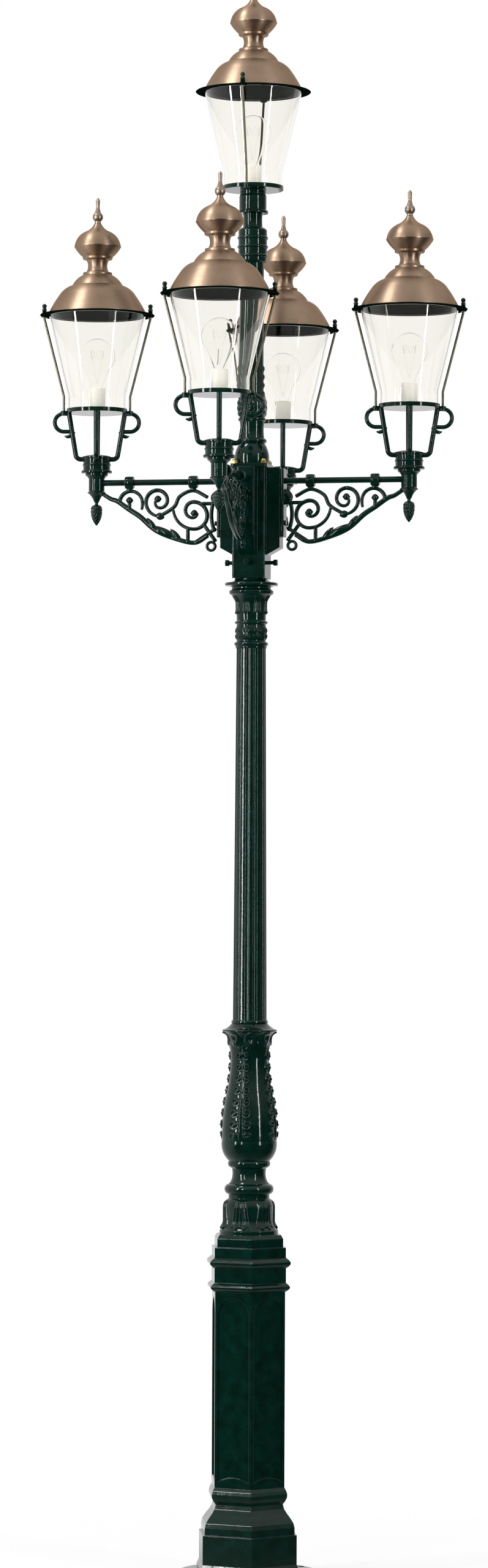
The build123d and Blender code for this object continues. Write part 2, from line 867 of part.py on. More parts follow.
# Dome nuts on studs that hold the cap on the hub
with BuildPart() as cap_nut:
    with BuildSketch(Plane.XY.offset(dome_foot)):
        RegularPolygon(nut_r, 6)
    extrude(amount=nut_h)
    with BuildSketch(Plane.XZ):
        with BuildLine():
            dome_nut_r = nut_r * math.cos(math.pi / 6)
            Line((0, dome_foot + nut_h), (dome_nut_r, dome_foot + nut_h))
            RadiusArc((dome_nut_r, dome_foot + nut_h), (0, dome_foot + nut_h + dome_nut_r), -dome_nut_r)
            Line((0, dome_foot + nut_h + dome_nut_r), (0, dome_foot + nut_h))
        make_face()
    revolve(axis=Axis.Z)
    with BuildSketch(Plane.XY.offset(dome_foot)):
        Circle(stud_r)
    extrude(amount=-cap_plate_t - stud_below + edge)

with BuildPart() as cap_nuts:
    with PolarLocations(nut_place * math.sqrt(2), 4, start_angle=45):
        add(cap_nut.part)

# Riser tube with a leaf bulb at its foot
riser_foot = cap_top
riser_tube_foot = riser_foot + riser_bulb_h
riser_top = riser_tube_foot + riser_h

with BuildPart() as riser:
    with BuildSketch(Plane.XZ):
        with BuildLine():
            closed(
                [
                    (riser_way_r, riser_foot - riser_spigot_h, 0),
                    (riser_spigot_r, riser_foot - riser_spigot_h, 0),
                    (riser_spigot_r, riser_foot, 0),
                    (riser_foot_r, riser_foot, 0),
                    (riser_r, riser_tube_foot, riser_bulb_r - (riser_foot_r + riser_r) / 2),
                    (riser_r, riser_top, 0),
                    (riser_spigot_r, riser_top, 0),
                    (riser_spigot_r, riser_top + riser_spigot_h, 0),
                    (riser_way_r, riser_top + riser_spigot_h, 0),
                ]
            )
        make_face()
    revolve(axis=Axis.Z)

# Riser collar: an ornamental sleeve and a neck with the spigot of the top lantern
sleeve_foot = riser_top
sleeve_drum_foot = sleeve_foot + sleeve_ring_h
sleeve_drum_top = sleeve_drum_foot + sleeve_h
sleeve_neck_foot = sleeve_drum_top + sleeve_ring_h
top_seat = sleeve_neck_foot + sleeve_neck_h

with BuildPart() as riser_collar:
    with BuildSketch(Plane.XZ):
        with BuildLine():
            closed(
                [
                    (riser_spigot_r + seat_gap, sleeve_foot, 0),
                    (riser_r + edge, sleeve_foot, 0),
                    (sleeve_r, sleeve_drum_foot, sleeve_ring_r - sleeve_r),
                    (sleeve_r, sleeve_drum_top, 0),
                    (sleeve_neck_r, sleeve_neck_foot, sleeve_ring_r - sleeve_r),
                    (sleeve_neck_r, top_seat, -1),
                    (cup_spigot_r, top_seat, 0),
                    (cup_spigot_r, top_seat + cup_spigot_h, 0),
                    (riser_way_r, top_seat + cup_spigot_h, 0),
                    (riser_way_r, sleeve_foot + riser_spigot_h + seat_gap, 0),
                    (riser_spigot_r + seat_gap, sleeve_foot + riser_spigot_h + seat_gap, 0),
                ]
            )
        make_face()
    revolve(axis=Axis.Z)

# Arm socket: carries a lantern, takes the end of the arm tube, and ends in a cone
arm_seat = arm_z + socket_seat_h
socket_foot = arm_z - socket_flare_drop - socket_cone_h
socket_inner_x = arm_reach - socket_r
tube_end_x = socket_inner_x + arm_tube_in_socket
flange_foot = arm_seat - socket_flange_h

with BuildPart() as arm_socket:
    with BuildSketch(Plane.XZ):
        with BuildLine():
            closed(
                [
                    (0, socket_foot, 0),
                    (socket_tip_r, socket_foot, 0),
                    (socket_flare_r, arm_z - socket_flare_drop, -3),
                    (socket_r, arm_z - socket_flare_drop + socket_flare_r - socket_r, 0),
                    (socket_r, flange_foot - socket_flange_r + socket_r, 0),
                    (socket_flange_r, flange_foot, -1),
                    (socket_flange_r, arm_seat, 0),
                    (cup_spigot_r, arm_seat, 0),
                    (cup_spigot_r, arm_seat + cup_spigot_h, 0),
                    (0, arm_seat + cup_spigot_h, 0),
                ]
            )
        make_face()
    revolve(axis=Axis.Z)
    with BuildSketch(Plane.XY.offset(arm_z)):
        Circle(arm_way_r)
    extrude(amount=socket_seat_h + cup_spigot_h, mode=Mode.SUBTRACT)
    with BuildSketch(arm_plane(180, socket_flange_r, arm_z)):
        Circle(arm_tube_r + seat_gap)
    extrude(amount=-(socket_flange_r - socket_r + arm_tube_in_socket + seat_gap), mode=Mode.SUBTRACT)
    with BuildSketch(arm_plane(180, socket_r, arm_z)):
        Circle(arm_way_r)
    extrude(amount=-socket_r, mode=Mode.SUBTRACT)
    with BuildSketch(Plane.XY.offset(socket_foot)):
        Circle(cone_stud_r + run_gap)
    extrude(amount=cone_stud_h + edge, mode=Mode.SUBTRACT)

with BuildPart() as arm_sockets:
    with PolarLocations(arm_reach, len(arm_angles)):
        add(arm_socket.part)

# Arm tube, from inside the lug to inside the socket
with BuildPart() as arm_tube:
    with BuildSketch(arm_plane(0, lug_reach - arm_tube_in_lug, arm_z)):
        Circle(arm_tube_r)
        Circle(arm_way_r, mode=Mode.SUBTRACT)
    extrude(amount=tube_end_x - lug_reach + arm_tube_in_lug)

with BuildPart() as arm_tubes:
    with PolarLocations(0, len(arm_angles)):
        add(arm_tube.part)

# Pine-cone drop on a stud
with BuildPart() as pine_cone:
    with BuildSketch(Plane.XZ):
        with BuildLine():
            closed(
                [
                    (0, socket_foot - cone_h, 0),
                    (cone_r, socket_foot - cone_h * 0.34, cone_r * 0.3),
                    (cone_stem_r, socket_foot - cone_h * 0.12, cone_r * 0.25),
                    (cone_stem_r + edge, socket_foot, -1),
                    (cone_stud_r, socket_foot, 0),
                    (cone_stud_r, socket_foot + cone_stud_h, 0),
                    (0, socket_foot + cone_stud_h, 0),
                ]
            )
        make_face()
    revolve(axis=Axis.Z)

with BuildPart() as pine_cone_drops:
    with PolarLocations(arm_reach, len(arm_angles)):
        add(pine_cone.part)

# Scroll bracket in the plane of the arm: back plate, lower rail, three volutes, bow, loop and clamps
inner_clamp_x = plate_face + inner_clamp_from_plate
outer_clamp_x = arm_reach - outer_clamp_from_lantern
rail_inner_x = plate_face + rail_from_plate
rail_outer_x = socket_inner_x
rail_shape = (
    (0.0, 0.0),
    (0.125, -0.16),
    (0.31, -0.06),
    (0.5, 0.14),
    (0.65, 0.46),
    (0.76, 0.64),
    (0.87, 0.83),
    (0.935, 0.89),
    (1.0, 1.0),
)


def rail_point(along, up):
    """A point of the lower rail, as shares of the way from its hub end to its socket end."""
    rise = rail_drop_at_hub - rail_drop_at_socket
    return (rail_inner_x + (rail_outer_x - rail_inner_x) * along, up * rise - rail_drop_at_hub)


def rail_height(x):
    """Height of the lower rail at a distance from the post axis."""
    along = (x - rail_inner_x) / (rail_outer_x - rail_inner_x)
    for (a0, u0), (a1, u1) in zip(rail_shape, rail_shape[1:]):
        if along <= a1:
            return rail_point(along, u0 + (u1 - u0) * (along - a0) / (a1 - a0))[1]
    return -rail_drop_at_socket


# Volutes, set out from the inner clamp: quarter turns of falling radius
large_top = (inner_clamp_x - 1, -53)
large_turns = ((22, -90), (20, -90), (12, -90))
large_back_turns = ((37, 90), (35, 90), (57, 84))
large_eye = (inner_clamp_x - 3, -83)
middle_top = (inner_clamp_x + 97, -21)
middle_turns = ((27, 90), (20, 90), (13, 130))
middle_back_turns = ((31, -90), (38, -90))
middle_eye = (inner_clamp_x + 96, -44)
middle_foot = (middle_top[0] - 7, middle_top[1] - 69)
crest = (
    middle_foot,
    (inner_clamp_x + 52, -66),
    (inner_clamp_x + 36, -38),
    (inner_clamp_x, -23),
    (inner_clamp_x - 39, -41),
)
small_foot = outer_clamp_x + small_r - small_shift
small_top = rail_height(small_foot) + small_r
stem_x = inner_clamp_x + 14
cross_top = -bow_drop_foot + bar_w
cross_foot = -rail_drop_at_hub - loop_r

with BuildPart() as arm_bracket:
    with BuildSketch(Plane(origin=(0, 0, arm_z), x_dir=(1, 0, 0), z_dir=(0, -1, 0))) as scrollwork:
        with BuildLine() as rail:
            Spline(*[rail_point(along, up) for along, up in rail_shape])
        trace(line_width=rail_w)
        with BuildLine() as large_scroll:
            scroll(large_top, 0, large_turns)
        trace(line_width=bar_w)
        with BuildLine() as large_back:
            scroll(large_top, 180, large_back_turns)
        trace(line_width=bar_w)
        with BuildLine() as middle_scroll:
            scroll(middle_top, 180, middle_turns)
        trace(line_width=bar_w)
        with BuildLine() as middle_back:
            scroll(middle_top, 0, middle_back_turns)
        trace(line_width=bar_w)
        with BuildLine() as crest_line:
            Spline(*crest, tangents=((-1, 0), (-0.7, -0.7)))
        trace(line_width=bar_w)
        with BuildLine() as small_scroll:
            scroll((small_foot, rail_height(small_foot)), 92, ((small_r, 172), (60, 20)))
        trace(line_width=bar_w)
        with BuildLine() as bow:
            SagittaArc((plate_face - edge, -bow_drop_top), (plate_face - edge, -bow_drop_foot), bow_depth)
        trace(line_width=bar_w)
        with BuildLine() as ties:
            Line((plate_face, large_top[1] - bar_w / 2), (large_top[0] - 2 * bar_w, large_top[1] - bar_w / 2))
            Line((stem_x, large_top[1] - 68), (stem_x, rail_height(stem_x)))
            Line((outer_clamp_x, -small_drop), (outer_clamp_x, rail_height(outer_clamp_x)))
        trace(line_width=bar_w)
        with BuildLine() as crossing:
            Line((plate_face + bow_depth / 2, cross_top), rail_point(*rail_shape[1]))
        trace(line_width=bar_w)
        with BuildLine() as crossing_back:
            Line((large_top[0] - 29, large_top[1] - 62), (plate_face + bow_depth / 2, cross_foot))
        trace(line_width=bar_w)
        with BuildLine() as clamp_stems:
            Line((inner_clamp_x, 0), (inner_clamp_x, crest[3][1]))
            Line((outer_clamp_x, 0), (outer_clamp_x, small_top))
        trace(line_width=clamp_stem_w)
        with Locations((outer_clamp_x, -small_drop), middle_eye, large_eye):
            Circle(eye_r)
        with Locations((plate_face + loop_from_plate, -loop_drop)):
            Circle(loop_r)
            Circle(loop_hole_r, mode=Mode.SUBTRACT)
        leaf_x = inner_clamp_x + leaf_from_clamp
        with Locations((leaf_x, rail_height(leaf_x) + leaf_rise)):
            Ellipse(leaf_l / 2, leaf_w / 2, rotation=leaf_tilt)
        with Locations(middle_foot):
            Ellipse(leaf_w / 2, bar_w)
        with Locations((plate_face, large_top[1] + bar_w)):
            Ellipse(bow_depth + bar_w / 2, leaf_w)
    extrude(amount=bar_t / 2, both=True)
    with BuildSketch(arm_plane(0, 0, arm_z)):
        with Locations((0, (plate_top_rise - plate_foot_drop) / 2)):
            Rectangle(plate_w, 2 * arm_reach)
    extrude(amount=lug_reach, mode=Mode.SUBTRACT)
    with BuildSketch(arm_plane(0, lug_reach, arm_z)):
        with Locations((0, (plate_top_rise - plate_foot_drop) / 2)):
            Rectangle(plate_w, plate_top_rise + plate_foot_drop)
    extrude(amount=plate_t)
    for clamp_x in (inner_clamp_x, outer_clamp_x):
        with BuildSketch(arm_plane(0, clamp_x - clamp_w / 2, arm_z)):
            Circle(clamp_r)
        extrude(amount=clamp_w)
    with BuildSketch(arm_plane(0, lug_reach, arm_z)):
        Circle(arm_tube_r + seat_gap)
    extrude(amount=arm_reach, mode=Mode.SUBTRACT)
    with BuildSketch(arm_plane(0, lug_reach, arm_z)):
        with Locations(*bolt_spots):
            Circle(bracket_bolt_r + run_gap)
    extrude(amount=plate_t, mode=Mode.SUBTRACT)
    with BuildSketch(arm_plane(0, plate_face, arm_z)):
        with Locations(*bolt_spots):
            Circle(bracket_bolt_head_r + move_gap)
    extrude(amount=bracket_bolt_head_h + move_gap, mode=Mode.SUBTRACT)
    with BuildSketch(Plane.XY.offset(socket_foot)):
        with Locations((arm_reach, 0)):
            Circle(socket_flare_r + move_gap)
    extrude(amount=arm_seat - socket_foot, mode=Mode.SUBTRACT)

# Lantern frame of an arm lantern: cup, four legs, pan and an ear under each tie rod
pan_foot = pan_above_seat - pan_t
pan_r = glass_r + seat_gap + pan_rim_t
leg_top_r = pan_r - leg_r
ear_bar_z = pan_foot - edge
boss_foot = pan_above_seat - rod_boss_h


def pan_outline(foot, top):
    """Outline of the pan with the rim that holds the glass, given the pan's two faces."""
    return [
        (0, foot, 0),
        (pan_r, foot, 0),
        (pan_r, top + pan_rim_h, 0),
        (pan_r - pan_rim_t, top + pan_rim_h, 0),
        (pan_r - pan_rim_t, top, 0),
        (0, top, 0),
    ]


with BuildPart() as arm_frame:
    with BuildSketch(Plane.XZ):
        with BuildLine():
            closed(
                [
                    (cup_spigot_r + seat_gap, 0, 0),
                    (cup_foot_r, 0, 0),
                    (cup_foot_r, cup_foot_h, 1),
                    (cup_r, cup_foot_h + edge, 0),
                    (cup_r, (cup_h - cup_bead_h) / 2, 0),
                    (cup_r, (cup_h + cup_bead_h) / 2, cup_bead_r - cup_r),
                    (cup_r, cup_h - cup_lip_h - edge, 0),
                    (cup_lip_r, cup_h - cup_lip_h, 0),
                    (cup_lip_r, cup_h, 0),
                    (arm_way_r, cup_h + cup_lip_h, 2),
                    (arm_way_r, cup_spigot_h + edge, 0),
                    (cup_spigot_r + seat_gap, cup_spigot_h + edge, 0),
                ]
            )
        make_face()
    revolve(axis=Axis.Z)
    with BuildSketch(Plane.XZ):
        with BuildLine():
            closed(pan_outline(pan_foot, pan_above_seat))
        make_face()
    revolve(axis=Axis.Z)
    leg_z = cup_h - leg_r
    for leg in range(leg_count):
        with BuildLine(Plane.XZ.rotated((0, 0, 360 / leg_count * leg))) as leg_path:
            FilletPolyline((cup_r - edge, leg_z), (leg_foot_r, leg_z), (leg_top_r, pan_foot + edge), radius=leg_bend_r)
        with BuildSketch(Plane(origin=leg_path.line @ 0, z_dir=leg_path.line % 0)):
            Circle(leg_r)
        sweep(path=leg_path.line)
    for side in (0, 180):
        with BuildLine(Plane.XZ.rotated((0, 0, side))) as ear_path:
            ear_in = Line((pan_r - ear_bar_r, ear_bar_z), (rod_circle_r, ear_bar_z))
            ear_loop = JernArc(ear_in @ 1, ear_in % 1, ear_r, -180)
            Line(ear_loop @ 1, (leg_foot_r + leg_r, ear_bar_z - 2 * ear_r))
        with BuildSketch(Plane(origin=ear_path.line @ 0, z_dir=ear_path.line % 0)):
            Circle(ear_bar_r)
        sweep(path=ear_path.line)
    with BuildSketch(Plane.XY.offset(boss_foot)):
        with PolarLocations(rod_circle_r, 2):
            Circle(rod_boss_r)
    extrude(amount=rod_boss_h)
    with BuildSketch(Plane.XY.offset(pan_above_seat)):
        Circle(glass_r + seat_gap)
    extrude(amount=rod_boss_h, mode=Mode.SUBTRACT)

# Frame of the top lantern: a cup that flares into a gallery pan with a lug under each tie rod
top_pan_foot = top_pan_above_seat - pan_t
top_flare_r = pan_r - 2 * pan_rim_t

with BuildPart() as gallery_frame:
    with BuildSketch(Plane.XZ):
        with BuildLine():
            closed(
                [
                    (cup_spigot_r + seat_gap, 0, 0),
                    (cup_foot_r, 0, 0),
                    (cup_foot_r, cup_foot_h, 1),
                    (cup_r, cup_foot_h + edge, 0),
                    (cup_r, cup_h - cup_lip_h, 0),
                    (top_flare_r, top_pan_foot, -3),
                    (arm_way_r, top_pan_foot, 0),
                    (arm_way_r, cup_spigot_h + edge, 0),
                    (cup_spigot_r + seat_gap, cup_spigot_h + edge, 0),
                ]
            )
        make_face()
    revolve(axis=Axis.Z)
    with BuildSketch(Plane.XZ):
        with BuildLine():
            closed(pan_outline(top_pan_foot, top_pan_above_seat))
        make_face()
    revolve(axis=Axis.Z)
    with BuildSketch(Plane.XY.offset(top_pan_above_seat - rod_boss_h)):
        with PolarLocations(rod_circle_r, 2):
            Circle(rod_boss_r)
        SlotCenterToCenter(2 * rod_circle_r, 2 * rod_boss_r)
    extrude(amount=rod_boss_h)
    with BuildSketch(Plane.XY.offset(top_pan_above_seat)):
        Circle(glass_r + seat_gap)
    extrude(amount=rod_boss_h, mode=Mode.SUBTRACT)

# Tie rod: straight beside the glass foot, sloped along the glass, upright through the brim
brim_lug_foot = brim_above_pan - edge
rod_stop_top = brim_lug_foot - move_gap

with BuildPart() as rod_pair:
    for side in (0, 180):
        with BuildLine(Plane.XZ.rotated((0, 0, side))) as rod_path:
            FilletPolyline(
                (rod_circle_r, 0),
                (rod_circle_r, glass_neck_h),
                (rod_top_circle_r, rod_stop_top - rod_stop_h - rod_bend_r / 4),
                (rod_top_circle_r, rod_stop_top + rod_stud_h),
                radius=rod_bend_r,
            )
        with BuildSketch(Plane(origin=rod_path.line @ 0, z_dir=rod_path.line % 0)):
            Circle(rod_r)
        sweep(path=rod_path.line)
    with BuildSketch(Plane.XY.offset(rod_stop_top - rod_stop_h)):
        with PolarLocations(rod_top_circle_r, 2):
            Circle(rod_stop_r)
    extrude(amount=rod_stop_h)

# Conical glass with a straight foot
with BuildPart() as glass:
    with BuildSketch(Plane.XZ):
        with BuildLine():
            closed(
                [
                    (glass_r - glass_t, 0, 0),
                    (glass_r, 0, 0),
                    (glass_r, glass_neck_h, 0),
                    (glass_top_r, glass_h, 0),
                    (glass_top_r - glass_t, glass_h, 0),
                    (glass_r - glass_t, glass_neck_h, 0),
                ]
            )
        make_face()
    revolve(axis=Axis.Z)

# Porcelain lamp holder on the pan
with BuildPart() as lamp_holder:
    with BuildSketch(Plane.XZ):
        with BuildLine():
            closed(
                [
                    (arm_way_r, 0, 0),
                    (holder_foot_r, 0, 0),
                    (holder_foot_r, holder_foot_h, 1),
                    (holder_r, holder_foot_h + holder_foot_r - holder_r, -1),
                    (holder_r, holder_h, 0),
                    (bulb_cap_r + bulb_gap, holder_h, 0),
                    (bulb_cap_r + bulb_gap, holder_floor_h, 0),
                    (arm_way_r, holder_floor_h, 0),
                ]
            )
        make_face()
    revolve(axis=Axis.Z)

# Globe bulb: screw cap, neck and globe, thin-walled
neck_foot = holder_h + bulb_gap
neck_meets = math.sqrt(bulb_r**2 - (bulb_neck_r + bulb_neck_h) ** 2)

with BuildPart() as bulb:
    with BuildSketch(Plane.XZ):
        with BuildLine():
            cap_foot_z = holder_floor_h
            inner_r = bulb_r - bulb_wall
            globe_r = bulb_neck_r + bulb_neck_h
            globe_z = bulb_mid_h - neck_meets
            Polyline(
                (bulb_cap_r - 3 * bulb_wall, cap_foot_z),
                (bulb_cap_r, cap_foot_z),
                (bulb_cap_r, neck_foot),
                (bulb_neck_r, neck_foot + bulb_neck_h),
                (globe_r, globe_z),
            )
            ThreePointArc((globe_r, globe_z), (bulb_r, bulb_mid_h), (0, bulb_mid_h + bulb_r))
            Line((0, bulb_mid_h + bulb_r), (0, bulb_mid_h + inner_r))
            ThreePointArc((0, bulb_mid_h + inner_r), (inner_r, bulb_mid_h), (globe_r - bulb_wall, globe_z))
            Polyline(
                (globe_r - bulb_wall, globe_z),
                (bulb_neck_r - 2 * bulb_wall, neck_foot + bulb_neck_h),
                (bulb_cap_r - 3 * bulb_wall, neck_foot),
                (bulb_cap_r - 3 * bulb_wall, cap_foot_z),
            )
        make_face()
    revolve(axis=Axis.Z)

# Hood ring: a skirt around the glass, a drooping brim, a seat for the hood and a lug for each tie rod
skirt_in = glass_top_r + glass_to_band
skirt_out = skirt_in + band_t
brim_top = brim_above_pan + brim_droop
seat_foot = brim_top - hood_seat_t
skirt_foot = seat_foot - band_skirt_h
brim_lug_top = brim_lug_foot + brim_lug_t
brim_lug_r = rod_top_circle_r + brim_lug_end

with BuildPart() as hood_ring:
    with BuildSketch(Plane.XZ):
        with BuildLine():
            closed(
                [
                    (skirt_in, skirt_foot, 0),
                    (skirt_out, skirt_foot, 0),
                    (skirt_out, brim_top - 2 * brim_t, 0),
                    (brim_r - edge, brim_above_pan - brim_t, 0),
                    (brim_r - edge, brim_above_pan, edge),
                    (skirt_out, brim_top, 2),
                    (hood_seat_r, brim_top, 0),
                    (hood_seat_r, seat_foot, 0),
                    (skirt_in, seat_foot, 0),
                ]
            )
        make_face()
    revolve(axis=Axis.Z)
    with BuildSketch(Plane.XY.offset(brim_lug_foot)):
        with PolarLocations((skirt_out + brim_lug_r) / 2, 2):
            Rectangle(brim_lug_r - skirt_out + 2 * edge, brim_lug_w)
    extrude(amount=brim_lug_t)
    with BuildSketch(Plane.XY.offset(skirt_foot)):
        with PolarLocations(rod_top_circle_r, 2):
            Circle(rod_r + brim_hole_gap)
    extrude(amount=brim_lug_top + brim_lug_t - skirt_foot, mode=Mode.SUBTRACT)
    with BuildSketch(Plane.XY.offset(brim_lug_top)):
        with PolarLocations(rod_top_circle_r, 2):
            Circle(knob_foot_r + brim_hole_gap)
    extrude(amount=brim_lug_t, mode=Mode.SUBTRACT)

# Copper hood: dome, upper dome, waisted neck and onion, spun as one thin shell
flank_top = brim_top + dome_flank_h
upper_foot = flank_top + dome_crown_h
bead_foot = upper_foot + upper_dome_h
neck_start = bead_foot + neck_bead_h
neck_end = neck_start + neck_h
flare_start = neck_end + onion_foot_h
rim_foot = flare_start + onion_flare_h
rim_top = rim_foot + onion_rim_h
shoulder = rim_top + onion_shoulder_h
hood_top = shoulder + onion_tip_h
hood_line = [
    (dome_r, brim_top, 0),
    (dome_flank_r, flank_top, dome_flank_swell),
    (upper_dome_r, upper_foot, dome_crown_swell),
    (neck_bead_r - edge, bead_foot, upper_dome_swell),
    (neck_bead_r - edge, neck_start, edge),
    (neck_r + edge, neck_start + edge, 0),
    (neck_r + edge, neck_end - edge, -neck_hollow),
    (neck_bead_r - edge, neck_end, 0),
    (neck_bead_r, flare_start, edge),
    (onion_r, rim_foot, 1.5),
    (onion_r, rim_top, edge),
    (onion_shoulder_r, shoulder, onion_swell),
    (onion_tip_r, hood_top, -onion_tip_hollow),
]


def inside(line, wall):
    """The inner side of a thin shell, drawn from the top down and lowered under the domes."""
    drops = [wall if brim_top < z <= bead_foot else 0 for _, z, _ in reversed(line)]
    back = [(r - wall, z - drop, 0) for (r, z, _), drop in zip(reversed(line), drops)]
    swells = [swell for _, _, swell in reversed(line)]
    return [back[0]] + [(r, z, -swell) for (r, z, _), swell in zip(back[1:], swells)]


with BuildPart() as hood:
    with BuildSketch(Plane.XZ):
        with BuildLine():
            closed(hood_line + inside(hood_line, copper_t))
        make_face()
    revolve(axis=Axis.Z)

# Finial: ball and spear with a stud into the hood
ball_foot = hood_top + finial_foot_h
ball_rise = math.sqrt(finial_ball_r**2 - onion_tip_r**2)
ball_top = ball_foot + 2 * ball_rise
spear_foot = ball_foot + finial_ball_h + finial_waist_h
spear_top = spear_foot + finial_spear_h
finial_stud_r = onion_tip_r - copper_t - seat_gap

with BuildPart() as finial:
    with BuildSketch(Plane.XZ):
        with BuildLine():
            closed(
                [
                    (0, hood_top - finial_stud_h, 0),
                    (finial_stud_r, hood_top - finial_stud_h, 0),
                    (finial_stud_r, hood_top, 0),
                    (onion_tip_r, hood_top, 0),
                    (onion_tip_r, ball_foot, 0),
                    (onion_tip_r, ball_top, finial_ball_r - onion_tip_r),
                    (finial_waist_r, spear_foot, 0),
                    (finial_spear_r, spear_top, 0),
                    (finial_tip_r, spear_top + finial_tip_h, 0),
                    (0, spear_top + finial_tip_h, 0),
                ]
            )
        make_face()
    revolve(axis=Axis.Z)

# Ball knob on the stud of a tie rod
knob_foot = brim_lug_top + move_gap
ball_mid = knob_foot + knob_h - knob_ball_r
ball_foot_drop = math.sqrt(knob_ball_r**2 - knob_neck_r**2)

with BuildPart() as knob:
    with BuildSketch(Plane.XZ):
        with BuildLine():
            bore_r = rod_r + run_gap
            Polyline(
                (bore_r, knob_foot + knob_bore_h),
                (bore_r, knob_foot),
                (knob_foot_r, knob_foot),
                (knob_foot_r, knob_foot + knob_foot_h),
                (knob_neck_r, knob_foot + knob_foot_h),
                (knob_neck_r, ball_mid - ball_foot_drop),
            )
            ThreePointArc(
                (knob_neck_r, ball_mid - ball_foot_drop), (knob_ball_r, ball_mid), (0, ball_mid + knob_ball_r)
            )
            Polyline(
                (0, ball_mid + knob_ball_r),
                (0, knob_foot + knob_bore_h),
                (bore_r, knob_foot + knob_bore_h),
            )
        make_face()
    revolve(axis=Axis.Z)

# Where each lantern's pan stands
pan_z = arm_seat + pan_above_seat
pan_places = {
    "top": Location((0, 0, top_seat + top_pan_above_seat), (0, 0, 90)),
    "right": Location((arm_reach, 0, pan_z), (0, 0, lantern_turn)),
    "back": Location((0, arm_reach, pan_z), (0, 0, lantern_turn)),
    "left": Location((-arm_reach, 0, pan_z), (0, 0, lantern_turn)),
    "front": Location((0, -arm_reach, pan_z), (0, 0, lantern_turn)),
}

with BuildPart() as tie_rods:
    with Locations(*pan_places.values()):
        add(rod_pair.part)

with BuildPart() as lamp_holders:
    with Locations(*pan_places.values()):
        add(lamp_holder.part)

with BuildPart() as bulbs:
    with Locations(*pan_places.values()):
        add(bulb.part)

# Write the pieces out
singles = {
    "foot_flange": foot_flange,
    "base_pedestal": base_pedestal,
    "service_door": service_door,
    "door_lock": door_lock,
    "terminal_box": terminal_box,
    "base_collar": base_collar,
    "vase": vase,
    "fluted_shaft": fluted_shaft,
    "capital": capital,
    "hub": hub,
    "hub_bolts": hub_bolts,
    "hub_cap": hub_cap,
    "cap_nuts": cap_nuts,
    "riser": riser,
    "riser_collar": riser_collar,
    "arm_tubes": arm_tubes,
    "arm_sockets": arm_sockets,
    "pine_cone_drops": pine_cone_drops,
    "tie_rods": tie_rods,
    "lamp_holders": lamp_holders,
    "bulbs": bulbs,
}
for name, piece in singles.items():
    hand_in(piece.part, name)

sides = ("right", "back", "left", "front")
for side, angle in zip(sides, arm_angles):
    hand_in(Location((0, 0, 0), (0, 0, angle)) * arm_bracket.part, f"arm_bracket_{side}")

for side, place in pan_places.items():
    if side == "top":
        frame = place * Location((0, 0, -top_pan_above_seat)) * gallery_frame.part
    else:
        frame = place * Location((0, 0, -pan_above_seat)) * arm_frame.part
    hand_in(frame, f"lantern_frame_{side}")
    hand_in(place * glass.part, f"glass_{side}")
    hand_in(place * hood_ring.part, f"hood_ring_{side}")
    hand_in(place * hood.part, f"hood_{side}")
    hand_in(place * finial.part, f"finial_{side}")
    for letter, turn in (("a", 0), ("b", 180)):
        spot = place * Location((0, 0, 0), (0, 0, turn)) * Location((rod_top_circle_r, 0, 0))
        hand_in(spot * knob.part, f"knob_{side}_{letter}")
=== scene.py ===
# %% [markdown]
# A garden lamp post of cast metal with five lanterns.
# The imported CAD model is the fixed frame. This lesson gives it paint, copper and glass, and adds the cast
# leaves, scrolls and filaments that are too fine for the solids.

# %% Load the frame
import json
import math

import bmesh
import bpy
import numpy as np
from mathutils import Matrix, Vector


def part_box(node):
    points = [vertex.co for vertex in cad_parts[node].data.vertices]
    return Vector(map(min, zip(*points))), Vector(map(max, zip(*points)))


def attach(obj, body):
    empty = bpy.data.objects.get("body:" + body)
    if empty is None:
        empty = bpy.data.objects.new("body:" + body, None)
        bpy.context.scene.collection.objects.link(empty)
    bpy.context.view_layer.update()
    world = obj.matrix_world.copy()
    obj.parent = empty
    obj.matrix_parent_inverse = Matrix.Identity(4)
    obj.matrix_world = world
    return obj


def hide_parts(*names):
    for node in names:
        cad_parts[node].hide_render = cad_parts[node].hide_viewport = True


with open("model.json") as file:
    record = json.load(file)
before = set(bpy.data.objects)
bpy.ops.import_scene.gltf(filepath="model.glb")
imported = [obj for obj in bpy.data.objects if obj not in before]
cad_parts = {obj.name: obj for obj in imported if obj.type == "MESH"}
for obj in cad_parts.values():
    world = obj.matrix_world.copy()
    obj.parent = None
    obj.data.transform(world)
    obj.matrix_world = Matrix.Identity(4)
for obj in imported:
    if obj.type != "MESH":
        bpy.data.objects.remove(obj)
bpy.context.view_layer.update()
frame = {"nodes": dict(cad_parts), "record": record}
nodes = frame["nodes"]

# %% [markdown]
# Colours are written as they look on a screen, as sRGB hex values. Blender's shaders count in linear light, so one
# function turns a hex value to linear. One more function adds a node, sets it and links it, for every material.

# %% Colour and node helpers
MM = 0.001


def linear(hex_value):
    """sRGB hex to linear RGBA: c / 12.92 below 0.04045, else ((c + 0.055) / 1.055) to the power 2.4."""
    srgb = np.array([int(hex_value[i:i + 2], 16) / 255 for i in (1, 3, 5)])
    return (*np.where(srgb <= 0.04045, srgb / 12.92, ((srgb + 0.055) / 1.055) ** 2.4), 1.0)


def node(tree, kind, links=(), **settings):
    """Adds a node: settings that name an input socket set it, others set a property, and links are (socket, source)."""
    made = tree.nodes.new("ShaderNode" + kind)
    for name, value in settings.items():
        socket = made.inputs.get(name.replace("_", " "))
        if socket is None:
            setattr(made, name, value)
        else:
            socket.default_value = value
    for socket, source in links:
        tree.links.new(source, made.inputs[socket])
    return made


